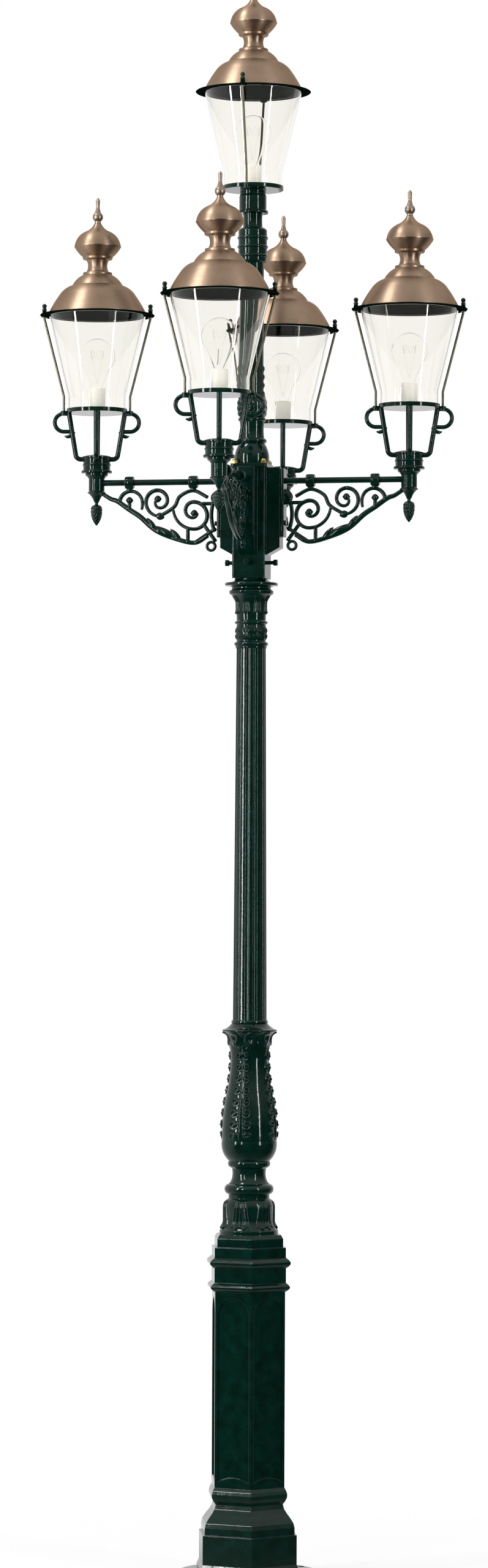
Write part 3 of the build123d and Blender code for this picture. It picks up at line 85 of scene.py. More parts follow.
def new_material(name, **settings):
    """A material with one Principled shader whose sockets are set, and the node tree to add patterns to."""
    material = bpy.data.materials.new(name)
    material.use_nodes = True
    shader = material.node_tree.nodes["Principled BSDF"]
    for socket, value in settings.items():
        shader.inputs[socket.replace("_", " ")].default_value = value
    return material, material.node_tree, shader


# %% [markdown]
# The castings carry a thick, dark green gloss enamel, brushed or sprayed over sand-cast metal. The eye sees a nearly
# black green, sharp highlights that wander a little over the cast skin, and softened edges. Two noises give the skin
# (about 30 mm) and the orange peel of the paint (about 3 mm), and a Bevel node rounds the edges of the solids.

# %% Gloss enamel on cast metal
paint, tree, shader = new_material("gloss_enamel_on_cast_metal", Specular_IOR_Level=0.26, Roughness=0.08)
place = node(tree, "TexCoord")
skin = node(tree, "TexNoise", [("Vector", place.outputs["Object"])], Scale=1 / 0.030, Detail=4.0)
peel = node(tree, "TexNoise", [("Vector", place.outputs["Object"])], Scale=1 / 0.004, Detail=1.0)
shade = node(tree, "ValToRGB", [("Fac", skin.outputs["Fac"])])
shade.color_ramp.elements[0].position, shade.color_ramp.elements[0].color = 0.3, linear("#00140d")
shade.color_ramp.elements[1].position, shade.color_ramp.elements[1].color = 0.75, linear("#02211a")
rounded = node(tree, "Bevel", samples=6, Radius=2.2 * MM)
wavy = node(
    tree, "Bump", [("Height", skin.outputs["Fac"]), ("Normal", rounded.outputs[0])], Strength=0.2, Distance=2.0 * MM
)
peeled = node(
    tree, "Bump", [("Height", peel.outputs["Fac"]), ("Normal", wavy.outputs[0])], Strength=0.1, Distance=0.3 * MM
)
gloss = node(tree, "MapRange", [("Value", peel.outputs["Fac"])], To_Min=0.06, To_Max=0.13)
tree.links.new(shade.outputs[0], shader.inputs["Base Color"])
tree.links.new(gloss.outputs[0], shader.inputs["Roughness"])
tree.links.new(peeled.outputs[0], shader.inputs["Normal"])
print(paint.name)

# %% [markdown]
# The hoods are copper sheet, spun on a lathe and left satin. Spinning leaves fine rings round the axis, which spread a
# highlight across the rings, so it fans up and down the dome (a quarter turn from Blender's tangent), and handling
# leaves a slightly browner bloom. The rings depend on the height alone, so a noise that is squeezed along Z draws them
# on every hood at once. Real rings are some 0.3 mm apart; 2 mm is drawn, to show.

# %% Satin spun copper
copper, tree, shader = new_material(
    "satin_spun_copper", Metallic=1.0, Roughness=0.4, Anisotropic=0.7, Anisotropic_Rotation=0.25
)
shader.inputs["Specular Tint"].default_value = linear("#d6c8bb")
place = node(tree, "TexCoord")
squeeze = node(tree, "Mapping", [("Vector", place.outputs["Object"])], Scale=(8.0, 8.0, 1 / 0.002))
rings = node(tree, "TexNoise", [("Vector", squeeze.outputs[0])], Scale=1.0, Detail=2.0)
bloom = node(tree, "TexNoise", [("Vector", place.outputs["Object"])], Scale=1 / 0.060, Detail=5.0, Roughness=0.6)
mixed = node(tree, "Mix", [("Factor", bloom.outputs["Fac"])], data_type="RGBA")
mixed.inputs[6].default_value, mixed.inputs[7].default_value = linear("#84705e"), linear("#a78f7a")
satin = node(tree, "MapRange", [("Value", rings.outputs["Fac"])], To_Min=0.34, To_Max=0.5)
spun = node(tree, "Bump", [("Height", rings.outputs["Fac"])], Strength=0.12, Distance=0.4 * MM)
along = node(tree, "Tangent", direction_type="RADIAL", axis="Z")
tree.links.new(mixed.outputs[2], shader.inputs["Base Color"])
tree.links.new(satin.outputs[0], shader.inputs["Roughness"])
tree.links.new(spun.outputs[0], shader.inputs["Normal"])
tree.links.new(along.outputs[0], shader.inputs["Tangent"])
print(copper.name)

# %% [markdown]
# The finials are cast in a duller, browner bronze, and the dome nuts are plain brass. Both are metals with a satin
# skin, so they share one recipe with other colours.

# %% Bronze, brass and zinc-plated steel
metals = {}
for name, dark, light, low, high in (
    ("cast_bronze", "#77685a", "#9f8f7e", 0.3, 0.45),
    ("satin_brass", "#8d7a3e", "#c2ab62", 0.25, 0.4),
    ("dull_nickel", "#4a483b", "#767260", 0.25, 0.4),
    ("pale_tungsten", "#b9b6ae", "#d9d6cf", 0.3, 0.4),
    ("zinc_plated_steel", "#7f8580", "#a9afaa", 0.28, 0.42),
):
    metals[name], tree, shader = new_material(name, Metallic=1.0)
    place = node(tree, "TexCoord")
    mottle = node(tree, "TexNoise", [("Vector", place.outputs["Object"])], Scale=1 / 0.012, Detail=4.0)
    mixed = node(tree, "Mix", [("Factor", mottle.outputs["Fac"])], data_type="RGBA")
    mixed.inputs[6].default_value, mixed.inputs[7].default_value = linear(dark), linear(light)
    satin = node(tree, "MapRange", [("Value", mottle.outputs["Fac"])], To_Min=low, To_Max=high)
    tree.links.new(mixed.outputs[2], shader.inputs["Base Color"])
    tree.links.new(satin.outputs[0], shader.inputs["Roughness"])
print(list(metals))

# %% [markdown]
# The lantern glass is a clear blown cone, 3 mm thick with a faint cream tint; the bulbs are thin clear globes. The cone
# has slow waves, about 45 mm long, that bend its reflections. Soda-lime glass has an index of about 1.5, but on a white
# set such panes mirror white over the dark linings, so the cone has 1.35, and the globes, whose walls are under a
# millimetre in truth, get a lower index instead of a thinner wall.

# %% Clear glass
cone_glass, tree, shader = new_material(
    "clear_soda_lime_glass", Base_Color=linear("#fdfcf8"), Roughness=0.01, IOR=1.35, Specular_IOR_Level=0.5,
    Transmission_Weight=1.0,
)
place = node(tree, "TexCoord")
waves = node(tree, "TexNoise", [("Vector", place.outputs["Object"])], Scale=1 / 0.045, Detail=1.0)
blown = node(tree, "Bump", [("Height", waves.outputs["Fac"])], Strength=0.05, Distance=1.0 * MM)
tree.links.new(blown.outputs[0], shader.inputs["Normal"])
globe_glass, tree, shader = new_material(
    "thin_bulb_glass", Base_Color=linear("#fffffe"), Roughness=0.005, IOR=1.05, Transmission_Weight=1.0
)
place = node(tree, "TexCoord")
waves = node(tree, "TexNoise", [("Vector", place.outputs["Object"])], Scale=1 / 0.020, Detail=0.0)
blown = node(tree, "Bump", [("Height", waves.outputs["Fac"])], Strength=0.02, Distance=1.0 * MM)
tree.links.new(blown.outputs[0], shader.inputs["Normal"])
print(cone_glass.name, globe_glass.name)

# %% [markdown]
# The lamp holders are glazed porcelain, warm white with a wet gloss. The terminal box in the pedestal is a moulded grey
# plastic with a fine matt grain. The rims and the inside of the hoods get a matt, nearly black green that shines
# nothing back. On the rims this is their dark primer. Inside the hoods it is painted shade: a dark sheet stands for the
# shade under each hood. One recipe with a noise for the grain serves all three.

# %% Porcelain, grey plastic, and primer that also paints the hoods' shade
plain = {}
for name, colour, rough, size, depth, shine in (
    ("glazed_porcelain", "#fdfbf5", 0.15, 0.025, 0.15, 0.5),
    ("moulded_grey_plastic", "#5a5c5f", 0.5, 0.0015, 0.1, 0.5),
    # The next finish is matt, nearly black and shines nothing. It is the rims' dark primer, and painted shade inside
    # the hoods.
    ("primer_and_painted_shade", "#06120d", 0.8, 0.0040, 0.1, 0.0),
):
    plain[name], tree, shader = new_material(
        name, Base_Color=linear(colour), Roughness=rough, Specular_IOR_Level=shine
    )
    place = node(tree, "TexCoord")
    grain = node(tree, "TexNoise", [("Vector", place.outputs["Object"])], Scale=1 / size, Detail=2.0)
    skin = node(tree, "Bump", [("Height", grain.outputs["Fac"])], Strength=0.2, Distance=depth * MM)
    tree.links.new(skin.outputs[0], shader.inputs["Normal"])
print(list(plain))

# %% [markdown]
# Each CAD node takes the finish of its slot in the record. The finials share the copper slot but are the duller bronze,
# the tie rods are nickelled, and the hub's bolts were painted over with the castings.

# %% Finishes on the CAD nodes
finish_of_slot = {
    "green_paint": paint, "copper": copper, "lantern_glass": cone_glass, "bulb_glass": globe_glass,
    "porcelain": plain["glazed_porcelain"], "steel": metals["zinc_plated_steel"], "brass": metals["satin_brass"],
    "grey_plastic": plain["moulded_grey_plastic"],
}
for entry in frame["record"]["subparts"]:
    finish = finish_of_slot[entry["material_slot"]]
    if entry["node"].startswith("finial"):
        finish = metals["cast_bronze"]
    if entry["node"] == "tie_rods":
        finish = metals["dull_nickel"]
    if entry["node"] == "hub_bolts":
        finish = paint
    nodes[entry["node"]].data.materials.clear()
    nodes[entry["node"]].data.materials.append(finish)
print("finishes on", len(nodes), "nodes")

# %% [markdown]
# A new piece is a set of grids of points. One function numbers the faces of a grid, and one more puts all the grids of
# a piece into a mesh, closes the seams and poles, turns the faces outwards and lets the piece ride on its body.

# %% Mesh helpers
def grid_faces(shape, wrap):
    """Corner numbers of a grid's quads: (i, j), (i, j + 1), (i + 1, j + 1), (i + 1, j), with j wrapped if asked."""
    rows, columns = shape
    i = np.arange(rows - 1)[:, None]
    j = np.arange(columns if wrap else columns - 1)[None, :]
    k = (j + 1) % columns
    return np.stack([i * columns + j, i * columns + k, (i + 1) * columns + k, (i + 1) * columns + j], -1).reshape(-1, 4)


def make_piece(name, grids, finish, body, replaced=()):
    """Joins grids of points, in millimetres, to one smooth mesh in metres that rides on a body."""
    points, faces, start = [], [], 0
    for grid in grids:
        points.append(grid.reshape(-1, 3))
        faces.append(grid_faces(grid.shape[:2], True) + start)
        start += grid.shape[0] * grid.shape[1]
    mesh = bpy.data.meshes.new(name)
    mesh.from_pydata((np.concatenate(points) * MM).tolist(), [], np.concatenate(faces).tolist())
    work = bmesh.new()
    work.from_mesh(mesh)
    bmesh.ops.remove_doubles(work, verts=work.verts, dist=1e-6)
    bmesh.ops.dissolve_degenerate(work, edges=work.edges, dist=1e-7)
    bmesh.ops.recalc_face_normals(work, faces=work.faces)
    work.to_mesh(mesh)
    work.free()
    mesh.shade_smooth()
    mesh.materials.append(finish)
    piece = bpy.data.objects.new(name, mesh)
    bpy.context.scene.collection.objects.link(piece)
    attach(piece, body)
    if replaced:
        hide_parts(*replaced)
    print(name, len(mesh.polygons), "faces")
    return piece


def turned_line(points, step):
    """Samples a turned outline of (radius, height, swell) about every step mm; a stretch bows out by its swell."""
    rows = [np.array([[points[0][0], points[0][1]]])]
    for (r0, z0, _), (r1, z1, swell) in zip(points, points[1:]):
        count = max(2, int(math.hypot(r1 - r0, z1 - z0) / step) + 1)
        t = np.linspace(0, 1, count + 1)[1:, None]
        chord = np.array([r1 - r0, z1 - z0])
        normal = np.array([chord[1], -chord[0]]) / max(np.linalg.norm(chord), 1e-9)
        rows.append(np.array([r0, z0]) + chord * t + normal * 4 * swell * t * (1 - t))
    return np.concatenate(rows)


def turned_grid(line, around, relief=None, centre=(0, 0, 0)):
    """Turns an outline about Z: x = (r + relief) cos a, y = (r + relief) sin a, z as drawn."""
    angle = np.linspace(0, 2 * math.pi, around, endpoint=False)[None, :]
    r = line[:, :1] + (0 if relief is None else relief(angle, line[:, 1:]))
    z = line[:, 1:] + 0 * angle
    return np.stack([r * np.cos(angle), r * np.sin(angle), z], -1) + np.array(centre)


# %% [markdown]
# Acanthus leaves stand in relief on the bell, the vase, the capital and the riser. A leaf is a height over two
# parameters: how far along its length, and how far across. It is fullest beside the midrib, its lobes swell and narrow
# along the edge, and its veins fan out to the lobes. The sheet dips below the casting between the leaves, so only the
# leaves come out.

# %% Leaf relief
def leaf_relief(count, foot, top, depth, fill=0.92, lobes=5, turn=0.0, droop=0.0):
    """Relief in mm of a ring of leaves between two heights, below zero between them.

    With t along and s across (1 at the leaf's edge), the width is sin(pi t^0.7)^0.6 with lobes cut into it, and the
    height is depth (1 - s^2)^0.6 (0.75 + 0.25 cos(2 pi (lobes t - 0.9 s))) less a groove at the midrib, plus a lip.
    """
    def relief(angle, z):
        t = np.clip((z - foot) / (top - foot), 0.0, 1.0)
        across = ((angle + turn) * count / (2 * math.pi)) % 1.0 * 2 - 1
        width = fill * (0.25 + 0.75 * np.sin(math.pi * np.clip(t, 0, 1) ** 0.7) ** 0.6)
        width = width * (1 - 0.16 * (0.5 + 0.5 * np.cos(2 * math.pi * lobes * t)))
        width = width * np.clip((1 - t) * 12, 0, 1) ** 0.5
        s = np.clip(np.abs(across) / np.maximum(width, 1e-3), 0, 2)
        body = np.clip(1 - s**2, 0, 1) ** 0.6
        veins = 0.75 + 0.25 * np.cos(2 * math.pi * (lobes * t - 0.9 * s))
        groove = 0.35 * np.exp(-(s / 0.12) ** 2)
        lip = droop * np.exp(-((t - 0.88) / 0.09) ** 2) * np.clip(1 - s**2, 0, 1)
        inside = (z >= foot) & (z <= top)
        return np.where(inside & (s < 1), depth * body * (veins - groove) + lip - 0.6, -1.2)
    return relief


def both(first, second):
    """The higher of two reliefs."""
    return lambda angle, z: np.maximum(first(angle, z), second(angle, z))


def leaf_ring(name, points, relief, around=384, step=1.6):
    """A closed sheet of leaf relief over a turned outline; its ends and its inner wall lie inside the casting."""
    line = turned_line(points, step)
    bore = line[:, 0].min() - 6
    wall = turned_grid(np.array([[bore, line[0, 1]]]), around), turned_grid(np.array([[bore, line[-1, 1]]]), around)
    sheet = turned_grid(line, around, relief)
    make_piece(name, [np.concatenate([wall[0], sheet, wall[1], wall[0]])], paint, "post")


# %% [markdown]
# The vase and the riser carry narrow strips of stacked curls, two to a leaf, with plain metal between the leaves. A
# curl is a spiral ridge: with r and a about its middle, the height follows cos(a + k r), so the ridge winds outwards
# by one pitch a turn. The two strips of a leaf are mirror images, and a plain midrib runs between them.

# %% Curl relief
def curl_relief(count, foot, top, depth, radius, apart, half, pitch, turn=0.0):
    """Relief in mm of leaves made of two strips of spiral curls, each curl half wide and a pitch above the last.

    With w across a strip and v up a curl, r = hypot(w, v) and a = atan2(v, w), the height is
    depth (1 - (r / half)^2)^0.5 (0.2 + 0.8 cos^2((a + 2 pi r / (0.8 half)) / 2)), less at both ends.
    """
    def relief(angle, z):
        t = np.clip((z - foot) / (top - foot), 0.0, 1.0)
        share = 2 * math.pi / count
        across = ((angle + turn + share / 2) % share - share / 2) * radius
        slim = 1 - 0.35 * t
        w = (np.abs(across) - apart * slim) / slim
        v = (z - foot) % pitch - pitch / 2
        r, a = np.hypot(w, v), np.arctan2(v, w)
        ridge = 0.2 + 0.8 * np.cos((a + 2 * math.pi * r / (0.8 * half)) / 2) ** 2
        curl = np.clip(1 - (r / half) ** 2, 0, 1) ** 0.5 * ridge
        rib = 0.55 * np.exp(-((across / (0.22 * apart)) ** 2))
        fade = np.clip(t * 12, 0, 1) * np.clip((1 - t) * 10, 0, 1)
        height = depth * np.maximum(curl, rib) * fade
        return np.where(height > 0.3, height - 0.2, -1.2)
    return relief


def ribbed_leaf(count, foot, top, depth, turn=0.0, ribs=2.5):
    """Relief in mm of broad leaves with upright ribs, widest and curled out at the foot, below zero between them.

    With t up and s across, the height is depth (1 - s^2)^0.5 (0.7 + 0.3 cos(2 pi ribs s)), plus a lip near the foot.
    """
    def relief(angle, z):
        t = np.clip((z - foot) / (top - foot), 0.0, 1.0)
        across = np.abs(((angle + turn) * count / (2 * math.pi) + 0.5) % 1.0 * 2 - 1)
        s = np.clip(across / (0.9 - 0.4 * t), 0, 2)
        reach = np.clip((t - 0.1 * np.abs(np.cos(1.5 * math.pi * s))) * 16, 0, 1) * np.clip((1 - t) * 10, 0, 1)
        lip = 0.5 * np.exp(-(((t - 0.12) / 0.08) ** 2))
        height = depth * reach * np.clip(1 - s**2, 0, 1) ** 0.5 * (0.7 + 0.3 * np.cos(2 * math.pi * ribs * s) + lip)
        return np.where(height > 0.3, height - 0.2, -1.2)
    return relief


# %% [markdown]
# Each leaf ring follows the outline of its casting a little inside the surface, from the foot up, as (radius, height,
# swell) in mm. A leaf faces the front, which is where the photo shows one. The capital's rings are turned in one piece,
# closer together and rounder than the solid's steps, and thin bands go round the sleeve of the riser.

# %% Leaves on the vase, the bell, the capital and the riser
FRONT = math.radians(98.5)
vase_line = [(54, 1098, 0), (72.7, 1151, 7), (63, 1264, 3), (50, 1369, -3), (55, 1409, -1), (71.5, 1439, -5)]
leaf_ring("vase_leaves", vase_line, both(
    curl_relief(4, 1150, 1405, 7.0, 64.0, 17.0, 13.5, 30.0, FRONT),
    leaf_relief(8, 1400, 1438, 5.0, lobes=1, droop=4.0, turn=FRONT),
))
bell_line = [(76.5, 915, 0), (64.6, 948, -4), (64.6, 975, 0), (54, 1000, 3)]
leaf_ring("bell_leaves", bell_line, ribbed_leaf(6, 916, 999, 5.0, FRONT))
capital_line = [(38.6, 2468, 0), (38.6, 2508, 3), (38.6, 2511, 0), (38.6, 2521, 5), (39.5, 2560, 0), (55, 2589, -5)]
leaf_ring("capital_leaves", capital_line, both(
    ribbed_leaf(8, 2536, 2588, 4.2, FRONT), curl_relief(8, 2470, 2506, 3.2, 39.0, 7.2, 7.0, 17.0, FRONT)
), around=320)
rings_line = turned_line([
    (30, 2448, 0), (41, 2448, 0), (41, 2453, 0), (39, 2466, 5), (38.6, 2468, 0), (38.6, 2508, 2.5), (38.6, 2511, 0),
    (38.6, 2521, 5.4), (39.5, 2560, 0), (55.5, 2590, -5), (58, 2594, 1), (57, 2601, 1.4), (52, 2605, -1), (52, 2609, 0),
    (68.5, 2613, -1), (70.2, 2617, 0.6), (68.5, 2621, 0.6), (49, 2626, -2), (44, 2631.5, -1), (30, 2631.5, 0),
    (30, 2448, 0),
], 1.5)
make_piece("capital_rings", [turned_grid(rings_line, 128)], paint, "post", ["capital"])
riser_line = [(33, 3058, 0), (30, 3122, 6), (30, 3200, 0)]
leaf_ring("riser_leaves", riser_line, both(
    leaf_relief(6, 3060, 3124, 4.0, lobes=4), curl_relief(4, 3110, 3199, 4.0, 30.0, 9.0, 8.0, 22.0, FRONT)
), around=260)
sleeve_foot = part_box("riser_collar")[0].z / MM + 10
bands = [turned_line([(37, z, 0), (38.2, z, 0), (38.2, z + 9, 2.6), (37, z + 9, 0), (37, z, 0)], 1.0)
         for z in (sleeve_foot + 4, sleeve_foot + 28, sleeve_foot + 52)]
make_piece("sleeve_bands", [turned_grid(band, 96) for band in bands], paint, "post")

# %% [markdown]
# The scroll brackets are cast bars: a rail, three volutes and a bow, all in the plane of the arm. A bar is a rounded
# section carried along a path. The paths are arcs that run on smoothly, as a smith would set them out, and repeat the
# solids' sizes.

# %% Bars of the scroll brackets
ARM_Z = 2890.0


def arc_path(start, heading, arcs, step=2.0):
    """Arcs of (radius, degrees turned left) that follow on smoothly, sampled about every step mm, as points (x, z)."""
    x, z, h = start[0], start[1], math.radians(heading)
    rows = [np.array([[x, z]])]
    for radius, turn in arcs:
        swing = math.radians(turn)
        side = math.copysign(1, swing)
        centre = np.array([x - side * radius * math.sin(h), z + side * radius * math.cos(h)])
        turned = np.linspace(0, swing, max(3, int(abs(swing) * radius / step)) + 1)[1:]
        spoke = h - side * math.pi / 2 + turned
        rows.append(centre + radius * np.stack([np.cos(spoke), np.sin(spoke)], -1))
        x, z = rows[-1][-1]
        h += swing
    return np.concatenate(rows)


def smooth_path(points, count=60):
    """A Catmull-Rom curve through points: cubic between each two, with the slope of their neighbours."""
    p = np.array(points, float)
    p = np.concatenate([[2 * p[0] - p[1]], p, [2 * p[-1] - p[-2]]])
    u = np.linspace(0, len(points) - 1 - 1e-9, count)
    k, t = u.astype(int), (u % 1)[:, None]
    a, b, c, d = p[k], p[k + 1], p[k + 2], p[k + 3]
    return 0.5 * (2 * b + (c - a) * t + (2 * a - 5 * b + 4 * c - d) * t**2 + (3 * b - a - 3 * c + d) * t**3)


def bar(path, across, through, power=2.8, around=20):
    """A closed rounded bar: path + normal * across * c + Y * through * s, where c and s go round a superellipse."""
    path = np.asarray(path, float)
    across, through = np.broadcast_to(across, len(path)), np.broadcast_to(through, len(path))
    tangent = np.gradient(path, axis=0)
    tangent /= np.linalg.norm(tangent, axis=1)[:, None]
    ease = np.concatenate([[0.0, 0.75], np.ones(len(path)), [0.75, 0.0]])
    before, after = path[:1] - tangent[:1] * [[1.5], [1.0]], path[-1:] + tangent[-1:] * [[1.0], [1.5]]
    path = np.concatenate([before, path, after])
    tangent = np.concatenate([tangent[:1], tangent[:1], tangent, tangent[-1:], tangent[-1:]])
    across = np.concatenate([across[:1], across[:1], across, across[-1:], across[-1:]]) * ease
    through = np.concatenate([through[:1], through[:1], through, through[-1:], through[-1:]]) * ease
    angle = np.linspace(0, 2 * math.pi, around, endpoint=False)
    c = np.sign(np.cos(angle)) * np.abs(np.cos(angle)) ** (2 / power)
    s = np.sign(np.sin(angle)) * np.abs(np.sin(angle)) ** (2 / power)
    x = path[:, :1] - tangent[:, 1:] * across[:, None] * c
    z = path[:, 1:] + tangent[:, :1] * across[:, None] * c
    y = through[:, None] * s
    return np.stack([x, y, z + ARM_Z], -1)


def drop(centre, long, wide, thick, tilt=0.0, power=2.2, around=24):
    """A leaf or eye: a bar along its own length whose section follows sin(pi t) to the power 0.6."""
    t = np.linspace(0.02, 0.98, 26)
    direction = np.array([math.cos(math.radians(tilt)), math.sin(math.radians(tilt))])
    path = np.array(centre) + direction * ((t - 0.5) * long)[:, None]
    swell = np.sin(math.pi * t) ** 0.6
    return bar(path, wide / 2 * swell, thick / 2 * swell, power, around)


# %% [markdown]
# One bracket is drawn on the +X arm, with heights from the arm's axis, and turned by quarter turns for the others. The
# inner clamp, the outer clamp and the back plate stand at fixed distances from the post. The volutes wind in from the
# rail and end in eyes, and the leaves lie on the rail where the volutes spring from it.

# %% Bracket layout
INNER, OUTER, PLATE = 158.0, 331.0, 90.0
rail = smooth_path([(118, -143), (153.2, -161.1), (205.4, -149.8), (259, -127.2), (301.3, -91), (332.3, -70.7),
                    (363.3, -49.2), (381.7, -42.4), (402, -30)], 110)
rail_at = lambda x: float(np.interp(x, rail[:, 0], rail[:, 1]))
small_foot_x = OUTER + 27
small = arc_path((small_foot_x, rail_at(small_foot_x)), 92, ((31, 172), (60, 20)))
large = arc_path((INNER - 1, -53), 0, ((22, -90), (20, -90), (12, -90)))
large_back = arc_path((INNER - 1, -53), 180, ((37, 90), (35, 90), (57, 84)))
middle = arc_path((INNER + 97, -21), 180, ((27, 90), (20, 90), (13, 130)))
middle_back = arc_path((INNER + 97, -21), 0, ((31, -90), (38, -90)))
crest = smooth_path([(INNER + 90, -90), (INNER + 52, -66), (INNER + 36, -38), (INNER, -23), (INNER - 39, -41)], 60)
bow = arc_path((PLATE - 1, -24), -119 + 62.9, ((115.0, -56.2),))
loop = arc_path((PLATE + 19, -171 - 11), 0, ((11, 359),), 1.5)
line = lambda a, b: np.linspace(a, b, 8)


def bracket_grids():
    """All the bars of one bracket, in the plane of the +X arm."""
    taper = lambda path, thick: thick * (0.62 + 0.38 * np.linspace(1, 0, len(path)) ** 0.5)
    grids = [
        bar(rail, 5.5 + 1.5 * np.sin(np.linspace(0, math.pi, len(rail))), 7.0),
        bar(large, taper(large, 5.4), 6.0), bar(large_back, taper(large_back, 5.6), 6.5),
        bar(middle, taper(middle, 5.4), 6.0), bar(middle_back, taper(middle_back, 5.6), 6.5),
        bar(crest, 5.0, 6.2), bar(small, taper(small, 5.6), 6.5), bar(bow, 5.0, 6.5), bar(loop, 4.0, 5.5),
        bar(line((PLATE, -58), (INNER - 21, -58)), 5.0, 6.5),
        bar(line((INNER + 14, -121), (INNER + 14, rail_at(INNER + 14))), 5.0, 6.5),
        bar(line((OUTER, -47), (OUTER, rail_at(OUTER))), 5.0, 6.5),
        bar(line((PLATE + 7, -124), (153, -161)), 5.0, 6.0),
        bar(line((INNER - 30, -115), (PLATE + 7, -158)), 5.0, 6.0),
        bar(line((INNER, 0), (INNER, -23)), 8.0, 6.5),
        bar(line((OUTER, 0), (OUTER, rail_at(small_foot_x) + 31)), 8.0, 6.5),
        drop((OUTER, -47), 19, 19, 17), drop((INNER + 96, -44), 19, 19, 17), drop((INNER - 3, -83), 19, 19, 17),
        drop((INNER + 76, rail_at(INNER + 76) + 6), 80, 21, 17, 26),
        drop((INNER + 46, rail_at(INNER + 46) + 9), 46, 15, 15, 48),
        drop((INNER + 90, -90), 24, 20, 16, 20), drop((PLATE + 4, -43), 40, 34, 14, 90),
        drop((INNER + 112, rail_at(INNER + 112) + 8), 44, 14, 15, 52),
    ]
    z = np.concatenate([[-148.0], np.linspace(-147, 30, 20), [31.0]])
    grids.append(bar(np.stack([0 * z + PLATE - 5, z], -1), 5.0, 23.0, 9.0, 28))
    return grids


def clamp_grid(x):
    """A clamp round the arm tube: a barrel turned about the arm's axis, with rounded shoulders."""
    shape = np.array([
        [8.2, -11.5], [14.5, -11.5], [16, -10.6], [16.5, -9], [17, 0], [16.5, 9], [16, 10.6], [14.5, 11.5],
        [8.2, 11.5], [8.2, -11.5],
    ])
    angle = np.linspace(0, 2 * math.pi, 40, endpoint=False)[None, :]
    r = shape[:, :1]
    return np.stack([x + shape[:, 1:] + 0 * angle, r * np.cos(angle), ARM_Z + r * np.sin(angle)], -1)


def turned_by(grids, quarter):
    """Turns grids about the post by quarter turns: x, y to x c - y s, x s + y c."""
    c, s = round(math.cos(quarter * math.pi / 2)), round(math.sin(quarter * math.pi / 2))
    return [g @ np.array([[c, s, 0], [-s, c, 0], [0, 0, 1]]) for g in grids]


bracket = bracket_grids() + [clamp_grid(INNER), clamp_grid(OUTER)]
for quarter, side in enumerate(("right", "back", "left", "front")):
    grids, replaced = turned_by(bracket, quarter), [f"arm_bracket_{side}"]
    make_piece(f"scroll_bracket_{side}", grids, paint, "post", replaced)

# %% [markdown]
# Under each lantern hangs a cast pine cone. Its scales are a lattice of two spirals that cross, so the relief is the
# product of two waves that run round the cone and down it in opposite senses.

# %% Pine-cone drops
def cone_relief(angle, z):
    """Scales: 2.2 |cos(4 a + 0.33 z) cos(4 a - 0.33 z)|^0.6 less 1.2 mm, fading out at the stem."""
    t = np.clip((2832 - z) / 10, 0, 1)
    return t * (2.2 * np.abs(np.cos(4 * angle + 0.33 * z) * np.cos(4 * angle - 0.33 * z)) ** 0.6 - 1.2)


ARM_REACH = 421.0
cone_line = turned_line([
    (0.2, 2777, 0), (14.6, 2818.6, 4.6), (5, 2832.4, 3.8), (6, 2840, -1), (4, 2840, 0), (4, 2853, 0), (0.1, 2853, 0)
], 0.9)
pine_cone = turned_grid(cone_line, 72, cone_relief, (ARM_REACH, 0, 0))
pine_cones = [grid for quarter in range(4) for grid in turned_by([pine_cone], quarter)]
make_piece("pine_cones", pine_cones, paint, "post", ["pine_cone_drops"])

# %% [markdown]
# The ears under each arm lantern end in a small spur on the leg. A spur is a thin round bar carried along a path in
# space, so its section is set square to the path with one fixed direction. The knobs show which way the ears point.

# %% Ear spurs
def wire(path, radius, around=8):
    """A closed round bar along points in space: path + radius (n cos a + b sin a), n and b square to the path."""
    path = np.asarray(path, float)
    tangent = np.gradient(path, axis=0)
    tangent /= np.linalg.norm(tangent, axis=1)[:, None]
    side = np.cross(tangent, np.array([0.31, 0.87, 0.38]))
    side /= np.linalg.norm(side, axis=1)[:, None]
    up = np.cross(tangent, side)
    angle = np.linspace(0, 2 * math.pi, around, endpoint=False)
    grid = path[:, None] + radius * (side[:, None] * np.cos(angle)[:, None] + up[:, None] * np.sin(angle)[:, None])
    return np.concatenate([np.repeat(path[:1, None], around, 1), grid, np.repeat(path[-1:, None], around, 1)])


def lantern_place(side):
    """The middle of a lantern's pan: the foot of its glass, on the glass's axis, in mm."""
    low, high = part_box(f"glass_{side}")
    return np.array([(low.x + high.x) / 2, (low.y + high.y) / 2, low.z]) / MM


lanterns = {side: lantern_place(side) for side in ("top", "right", "back", "left", "front")}
spurs = []
for side in ("right", "back", "left", "front"):
    low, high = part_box(f"knob_{side}_a")
    out = np.array([(low.x + high.x) / 2, (low.y + high.y) / 2, 0]) / MM - lanterns[side] * (1, 1, 0)
    out /= np.linalg.norm(out)
    hook = smooth_path([(62, -55), (66, -63), (74, -68), (80, -68.5), (86, -67)], 24)
    thick = np.interp(np.linspace(0, 1, 24), [0, 0.3, 0.7, 1], [5.5, 5.5, 4.5, 1.5])[:, None, None]
    for sign in (-1, 1):
        spurs.append(wire(lanterns[side] + sign * out * hook[:, :1] + np.array([0, 0, 1]) * hook[:, 1:], thick, 14))
make_piece("ear_spurs", spurs, paint, "post")

# %% [markdown]
# The top lantern has no legs: its pan is a thin flat disc on a straight cup, with a boss under each tie rod. The solid
# stands on a stouter flare, so a slimmer turned piece with the same seat and rim replaces it here.

